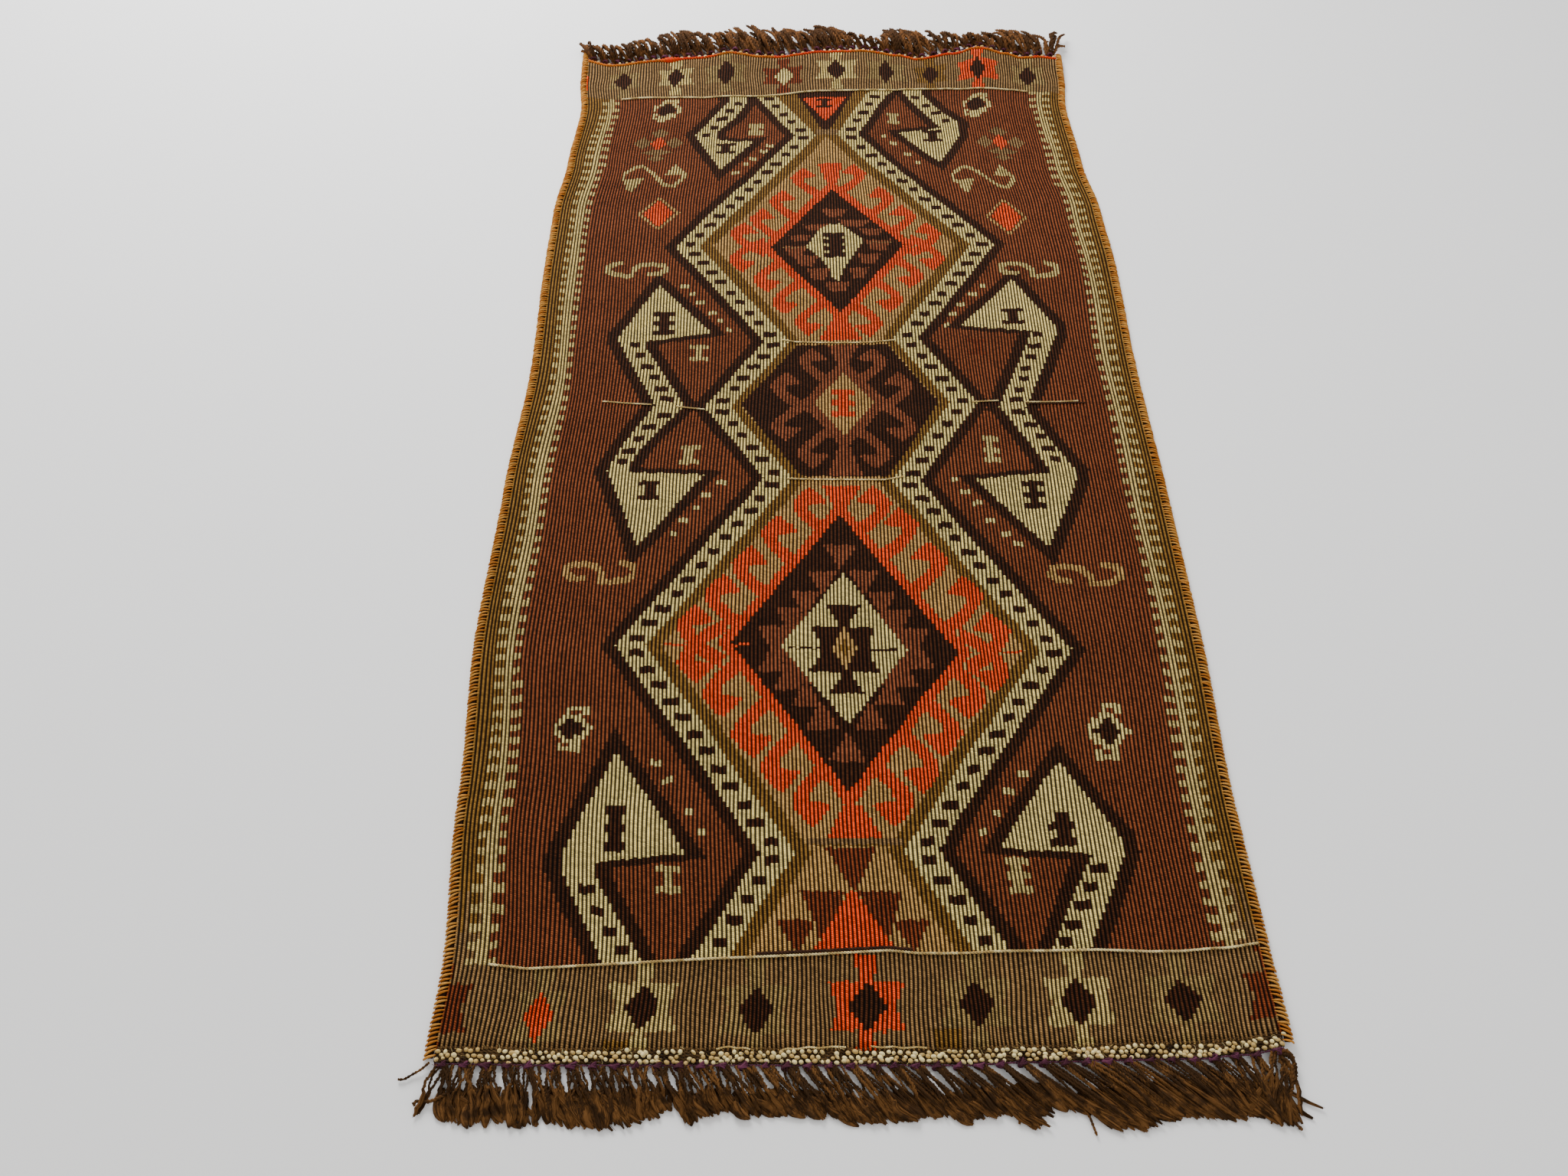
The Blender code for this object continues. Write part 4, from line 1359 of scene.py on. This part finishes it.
farReach = metres((  # x, how far the strands reach, how far they lean for each metre of reach
    (-292, 37, -0.35), (-260, 25, -0.45), (-204, 34, -0.35), (-153, 53, -0.4), (-120, 38, -0.45), (-81, 56, -0.4),
    (-42, 51, -0.4), (-13, 39, -0.4), (26, 50, -0.4), (62, 20, -0.4), (112, 53, -0.3), (150, 43, -0.3),
    (188, 26, -0.35), (242, 51, -0.35), (262, 44, -0.3), (292, 50, 0.6),
), 2)


def knotRow(fringe):
    return fringe["outward"] * (2 * rug["gap"] + fringe["heading"] + knotting["past"])


def knotPlace(fringe, knot):
    # the middle of a knot, the way from one knot to the next, and its x and s on the rug
    ends = clothPoint(4.0 * knot + np.array((0.0, 2.0, 4.0)), fringe["row"], 0.0, knotRow(fringe))
    return ends[1], ends[2] - ends[0], *(ends[1] - frameShift)[:2]


flatness = {"broad": 0.25, "narrow": 0.4}  # of a lock of wool, wider or narrower than 3 mm


def opened(lock, wide, tone, fringe, chance, locks, fibres):
    # a flat lock of wool along a path, with fibres over and past it
    share = np.linspace(0.0, 1.0, len(lock))
    flat = flatness["broad"] if wide.max() > 0.003 else flatness["narrow"]
    lock[:, 2] = np.maximum(lock[:, 2], (flat + 0.05) * wide)
    locks[flat].add(lock, wide, tone)
    heading = lock[-1] - lock[-3]
    for _ in range(3 + int(fringe["fibres"] * wide.max())):
        off = chance.uniform(-0.95, 0.95)
        line = lock + heading * chance.uniform(-0.2, 0.12) * (share * share)[:, None]
        line[:, 0] += off * wide * (1.0 + 0.2 * share)
        line[:, 2] += flat * 0.9 * wide * math.sqrt(1 - off * off) + chance.uniform(-0.0001, 0.0004)
        line[:, :2] += chance.normal(0.0, 0.00014, (len(line), 2)).cumsum(axis=0)
        line[:, 2] = np.maximum(line[:, 2], 0.0004)
        fibres.add(line[1:], chance.uniform(0.00012, 0.00030) * (1.0 - 0.5 * share[1:]), chance.uniform(0.1, 1.0))


def bent(points, count):
    # a smooth path through a few points
    places = np.linspace(0, len(points) - 1, count)
    path = np.stack([np.interp(places, range(len(points)), column) for column in zip(*points)], axis=1)
    for _ in range(3):
        path[1:-1] = 0.5 * path[1:-1] + 0.25 * (path[:-2] + path[2:])
    return path


def toEdge(x, s, lean):
    # how far down the rug a strand from this place meets the edge of the felted wool
    reach = 0.036
    for _ in range(5):
        reach = 0.5 * reach + 0.5 * (s - float(eased(nearEdge, x + lean * reach)))
    return reach


def waves(share, chance, high, often):
    return chance.uniform(*high) * np.sin(share * chance.uniform(*often) + chance.uniform(0, 6))


def nearStrands(chance):
    # crimped strands over the floor, and the locks that they open into
    fringe = nearFringe
    strands, fibres = Bundle(), Bundle()
    locks = {flat: Bundle() for flat in flatness.values()}
    share = np.linspace(0.0, 1.0, fringe["points"])
    for knot in range(knotting["count"]):
        root, bay, x0, s0 = knotPlace(fringe, knot)
        order = chance.permutation(fringe["strands"])
        for place in range(fringe["strands"]):
            spread = (place + 0.5) / fringe["strands"] - 0.5
            start = knotting["bunch"] * (0.5 * spread + 0.5 * ((order[place] + 0.5) / fringe["strands"] - 0.5))
            if place % 3 == 0:
                start += 0.5 * bay[0] * float(np.interp(x0, [-0.1, 0.1], [1.0, 0.4]))
            lean = float(eased(nearLean, x0)) + spread * 0.2 + chance.normal(0.0, 0.10)
            reach = toEdge(x0 + spread * bay[0], s0, lean) * chance.uniform(0.93, 1.0)
            tip = lean * reach + spread * bay[0] * 1.1
            wave = waves(share, chance, (0.0004, 0.0014), (5.0, 11.0))
            wave += waves(share, chance, (0.0003, 0.0008), (24.0, 40.0))
            wave = (wave - wave[0]) * np.clip(share * 5, 0, 1)
            x = root[0] + start * (1 - share) + tip * share + 0.6 * spread * bay[0] * share * (1 - share) + wave
            y = root[1] - reach * share + spread * bay[1] * share - 0.6 * lean * wave
            arch = chance.uniform(0.0004, 0.0040) * np.sin(np.pi * np.clip(share * 1.1, 0, 1))
            z = 0.0024 * (1 - share) ** 2 + arch + 0.0018
            path = np.stack([x, y, z], axis=1)
            tone = chance.uniform(0.0, 1.0)
            ply = fringe["ply"] * chance.uniform(0.75, 1.15)
            loose = fringe["loose"]
            strands.add(path[:loose], ply * (1.0 - 0.3 * smooth(share[:loose])), 0.2 + 1.2 * tone)
            begin = int(np.interp(x0, *feltBegins))
            lock = path[begin::3] + (0.0, 0.0, chance.uniform(-0.0004, 0.0006))
            done = np.linspace(0.0, 1.0, len(lock))
            wide = fringe["lock"] * chance.uniform(0.6, 1.3) * (0.5 + 0.5 * smooth(np.clip(done * 1.6, 0, 1)))
            wide = wide * (1.0 - 0.6 * np.clip((done - 0.7) / 0.3, 0, 1) ** 2)
            opened(lock, wide, 0.75 * tone, fringe, chance, locks, fibres)

    # felted wool between the strands: broad locks side by side, and narrow ones drawn along the edge
    done = np.linspace(0.0, 1.0, 10)
    flow = np.sin(np.pi * done)
    for number in range(fringe["broad"] + fringe["felted"]):
        broad = number < fringe["broad"]
        last = knotting["count"] - 1.0
        knot = (number + 0.5) / fringe["broad"] * last if broad else chance.uniform(0.0, last)
        root, _, x0, s0 = knotPlace(fringe, knot)
        lean = float(eased(nearLean, x0))
        reach = toEdge(x0, s0, lean) * chance.uniform(0.93, 1.0)
        first = chance.uniform(0.42, 0.58) if broad else chance.uniform(0.42, 0.7)
        first *= float(np.interp(x0, *feltBegins)) / 20.0
        aim = chance.normal(0.0, 0.12) if broad else chance.normal(0.25, 0.3)
        bend = chance.normal(0.0, 0.0020) * flow + chance.normal(0.0, 0.0008) * np.sin(2 * np.pi * done)
        down = np.minimum(first * reach + reach * (1.0 - first) * done * math.cos(aim), reach)
        x = root[0] + lean * down + reach * (1.0 - first) * math.sin(aim) * done * 1.4 + bend
        y = root[1] - down + 0.3 * bend
        if broad:
            z = chance.uniform(0.0004, 0.0022) + 0.0012 * flow
            wide = chance.uniform(0.0030, 0.0050) * np.sin(np.pi * np.clip(0.12 + done * 0.62, 0, 1))
            wide = wide * np.sqrt(np.clip(1.06 - np.clip((done - 0.6) / 0.4, 0, 1) ** 2, 0.06, 1))
        else:
            z = chance.uniform(0.0008, 0.0042) * (1.0 - 0.5 * done) + 0.0006
            wide = 0.25 + 0.75 * np.sin(np.pi * np.clip(0.12 + done * 0.8, 0, 1))
            wide = chance.uniform(0.0012, 0.0026) * wide
        opened(np.stack([x, y, z], axis=1), wide, chance.uniform(0.0, 1.0), fringe, chance, locks, fibres)

    for ply, *points in nearStrays:
        strands.add(bent(points, 18) / 1000.0 + frameShift, ply / 1000.0, chance.uniform(0.2, 0.8))
    return strands, locks, fibres


def farStrands(chance):
    # fat soft plies that stand and curl over, in two layers
    fringe = farFringe
    strands, fibres = Bundle(), Bundle()
    share = np.linspace(0.0, 1.0, fringe["points"])
    for knot in range(knotting["count"]):
        root, bay, x0, _ = knotPlace(fringe, knot)
        for place in range(fringe["strands"]):
            low = place % 3 == 0
            spread = (place + 0.5) / fringe["strands"] - 0.5 + chance.uniform(-0.06, 0.06)
            at = x0 + spread * bay[0]
            reach = float(eased(farReach, at)) * (chance.uniform(0.5, 0.8) if low else chance.uniform(0.84, 1.05))
            lean = float(eased(farReach, at, 2)) - 0.12 + chance.normal(0.0, 0.14)
            curl = chance.uniform(-0.4, 1.0) * fringe["curl"] * np.clip((share - 0.55) / 0.45, 0, 1) ** 2
            wave = waves(share, chance, (0.0004, 0.0016), (4.0, 8.0))
            x = root[0] + spread * bay[0] * (0.6 + 0.5 * share) + lean * reach * share + curl + (wave - wave[0])
            y = root[1] + spread * bay[1] + reach * share - 0.5 * curl
            high = chance.uniform(0.002, 0.006) if low else chance.uniform(0.007, 0.0150)
            z = root[2] * (1 - share) ** 2 + high * np.sin(np.pi * share ** 0.75 * 0.88) + 2.0 * fringe["ply"]
            path = np.stack([x, y, z], axis=1)
            # painted shade: the low layer, lying under the standing strands, gets darker tones
            tone = chance.uniform(0.0, 0.5) if low else chance.uniform(0.25, 1.0)
            size = fringe["ply"] * chance.uniform(0.8, 1.2)
            strands.add(path, size * (0.8 + 0.3 * np.sin(np.pi * share)) * (1.0 - 0.25 * share ** 6), tone)
            for _ in range(fringe["fibres"]):
                start = int(chance.integers(2, 11))
                line = path[start:start + 4] + chance.normal(0.0, 1.0, 3) * (0.0012, 0.0010, 0.0010)
                line = line + np.linspace(0, 1, len(line))[:, None] ** 1.5 * chance.normal(0.0, 0.0016, 3)
                line[:, 2] = np.maximum(line[:, 2], 0.0006)
                thick = chance.uniform(0.00013, 0.00022) * np.linspace(1.0, 0.5, len(line))
                fibres.add(line, thick, chance.uniform(0.2, 1.0))
    return strands, fibres


def knotTree():
    # a knot: turns of thread round the root of a bunch of strands
    grower = Grower("wrapped knot", size=0.0021, wrap=0.0007, seed=1)
    size, wrap = grower.given("size"), grower.given("wrap")
    ring = grower.moved(grower.circle(10), Rotation=(math.pi / 2, 0.0, 0.0))
    ring = grower.tube(grower.moved(ring, Scale=grower.vector(size * 1.15, size, size * 0.85)), 5, wrap)
    turns = []
    for step in (-1.0, 0.0, 1.0):
        shift = grower.vector(0.0, wrap * (1.5 * step), 0.0)
        turns.append(grower.moved(ring, Translation=shift, Rotation=(0.25 * step, 0.0, 0.3 * step + 0.2)))
    turn = grower.vector(grower.random(-0.2, 0.2, 1), grower.random(-0.2, 0.2, 2), grower.random(-0.4, 0.4, 3))
    scale = grower.random(0.82, 1.08, 4)
    scale = grower.vector(scale, scale, scale)
    grower.close(grower.scatter(grower.given("Geometry"), grower.together(turns), turn, scale))
    return grower


def buildKnots(end, fringe):
    # purple knots, and the thread that links them
    out = knotRow(fringe)
    middles = clothPoint(4.0 * np.arange(knotting["count"]) + 2.0, fringe["row"], knotting["high"], out)
    knots = pathMesh("knots", [middles])
    sizes = {name: knotting[name] for name in ("size", "wrap")}
    knots = knotTree().make(f"knots_{end}", knots, purpleYarn, **sizes, seed=4)
    ribs = np.linspace(0.5, 159.5, 320)
    above = 0.0022 + 0.0006 * np.cos(np.pi * ribs / 2.0)
    thread = clothPoint(ribs, fringe["row"], above, out - fringe["outward"] * 0.0008)
    link = spun(f"link_{end}", [thread], 0.00042, 0.3, purpleYarn, step=0.0015, pitch=0.004)
    chance = np.random.default_rng(knotting["seed"])
    fuzz = Bundle()
    for middle in np.repeat(middles, knotting["fuzz"], axis=0):
        start = middle + chance.normal(0.0, 1.0, 3) * (0.0020, 0.0010, 0.0003) + (0.0, 0.0, 0.0024)
        fuzz.add(strayed(start, chance, 0.0042), 0.00016, chance.uniform(0.0, 1.0))
    fuzz = fuzz.grow(looseFibre, f"knot_fuzz_{end}", purpleYarn)
    fasten(joined(f"fringe_knots_{end}", [knots, link, fuzz]), "warp_yarn")


def buildNearFringe():
    warp = yarnFinish("warp_yarn_near", nearFringe["shade"], nearFringe["second"], 0.45)
    strands, locks, fibres = nearStrands(np.random.default_rng(nearFringe["seed"]))
    pitch = nearFringe["pitch"]
    strands = strands.grow(twistedYarn, "fringe_strands_near", warp, step=0.0017, pitch=pitch, sides=4)
    fasten(strands, "warp_yarn", "fringe_near")
    felted = [bundle.grow(woolLock, f"locks_{flat}", warp, flat=flat) for flat, bundle in locks.items()]
    fasten(joined("fringe_locks_near", felted), "warp_yarn")
    fasten(fibres.grow(looseFibre, "fringe_fibres_near", warp), "warp_yarn")
    buildKnots("near", nearFringe)


def buildFarFringe():
    warp = yarnFinish("warp_yarn_far", farFringe["shade"], farFringe["second"], 0.5)
    strands, fibres = farStrands(np.random.default_rng(farFringe["seed"]))
    pitch = farFringe["pitch"]
    strands = strands.grow(twistedYarn, "fringe_strands_far", warp, step=0.0028, pitch=pitch, sides=5)
    fasten(strands, "warp_yarn", "fringe_far")
    fasten(fibres.grow(looseFibre, "fringe_fibres_far", warp), "warp_yarn")
    buildKnots("far", farFringe)


buildNearFringe()
buildFarFringe()
print("fringes done")


# The photograph's camera, the floor and the light
view = {"height": 0.836, "x": -0.054, "s": -0.176, "pitch": 56.05, "yaw": 0.50, "roll": 0.51, "lens": 27.04}


def buildCamera():
    pitch, yaw, roll = (math.radians(view[key]) for key in ("pitch", "yaw", "roll"))
    forward = Vector((math.sin(yaw) * math.cos(pitch), math.cos(yaw) * math.cos(pitch), -math.sin(pitch)))
    level = Vector((math.cos(yaw), -math.sin(yaw), 0.0))
    upright = level.cross(forward)
    right = math.cos(roll) * level + math.sin(roll) * upright
    up = -math.sin(roll) * level + math.cos(roll) * upright
    data = bpy.data.cameras.new("camera")
    data.lens, data.sensor_width = view["lens"], 36.0
    camera = bpy.data.objects.new("camera", data)
    bpy.context.scene.collection.objects.link(camera)
    turn = Matrix((right, up, -forward)).transposed().to_4x4()
    place = Vector((view["x"], view["s"], view["height"])) + Vector(frameShift)
    camera.matrix_world = Matrix.Translation(place) @ turn
    bpy.context.scene.camera = camera


studio = {
    "floor": 0.9,
    "sky": 0.80,
    # energy, size, place, turned towards the rug
    "lamps": (
        (68.0, 1.0, (-0.7, 1.55, 1.2)),
        (6.5, 1.8, (1.3, -0.5, 1.7)),
    ),
}


def buildStudio():
    finish = Finish("floor", 0.7, 0.2)
    low, high = ((*(studio["floor"] + change,) * 3, 1.0) for change in (-0.01, 0.01))
    finish.feed("Base Color", finish.mixColours(finish.noise(finish.where, 5.0, 2.0), low, high))
    mesh = bpy.data.meshes.new("floor")
    mesh.from_pydata([(-6, -6, 0), (6, -6, 0), (6, 6, 0), (-6, 6, 0)], [], [(0, 1, 2, 3)])
    addPiece("floor", mesh, finish.material)
    world = bpy.data.worlds.new("studio")
    world.use_nodes = True
    background = world.node_tree.nodes["Background"].inputs
    background["Color"].default_value = (1.0, 0.99, 0.97, 1.0)
    background["Strength"].default_value = studio["sky"]
    bpy.context.scene.world = world
    for number, (energy, size, place) in enumerate(studio["lamps"]):
        data = bpy.data.lights.new(f"lamp{number}", "AREA")
        data.energy, data.size = energy, size
        lamp = bpy.data.objects.new(f"lamp{number}", data)
        lamp.location = place
        lamp.rotation_euler = (-Vector(place)).to_track_quat("-Z", "Y").to_euler()
        bpy.context.scene.collection.objects.link(lamp)


buildCamera()
buildStudio()
print("studio ready")
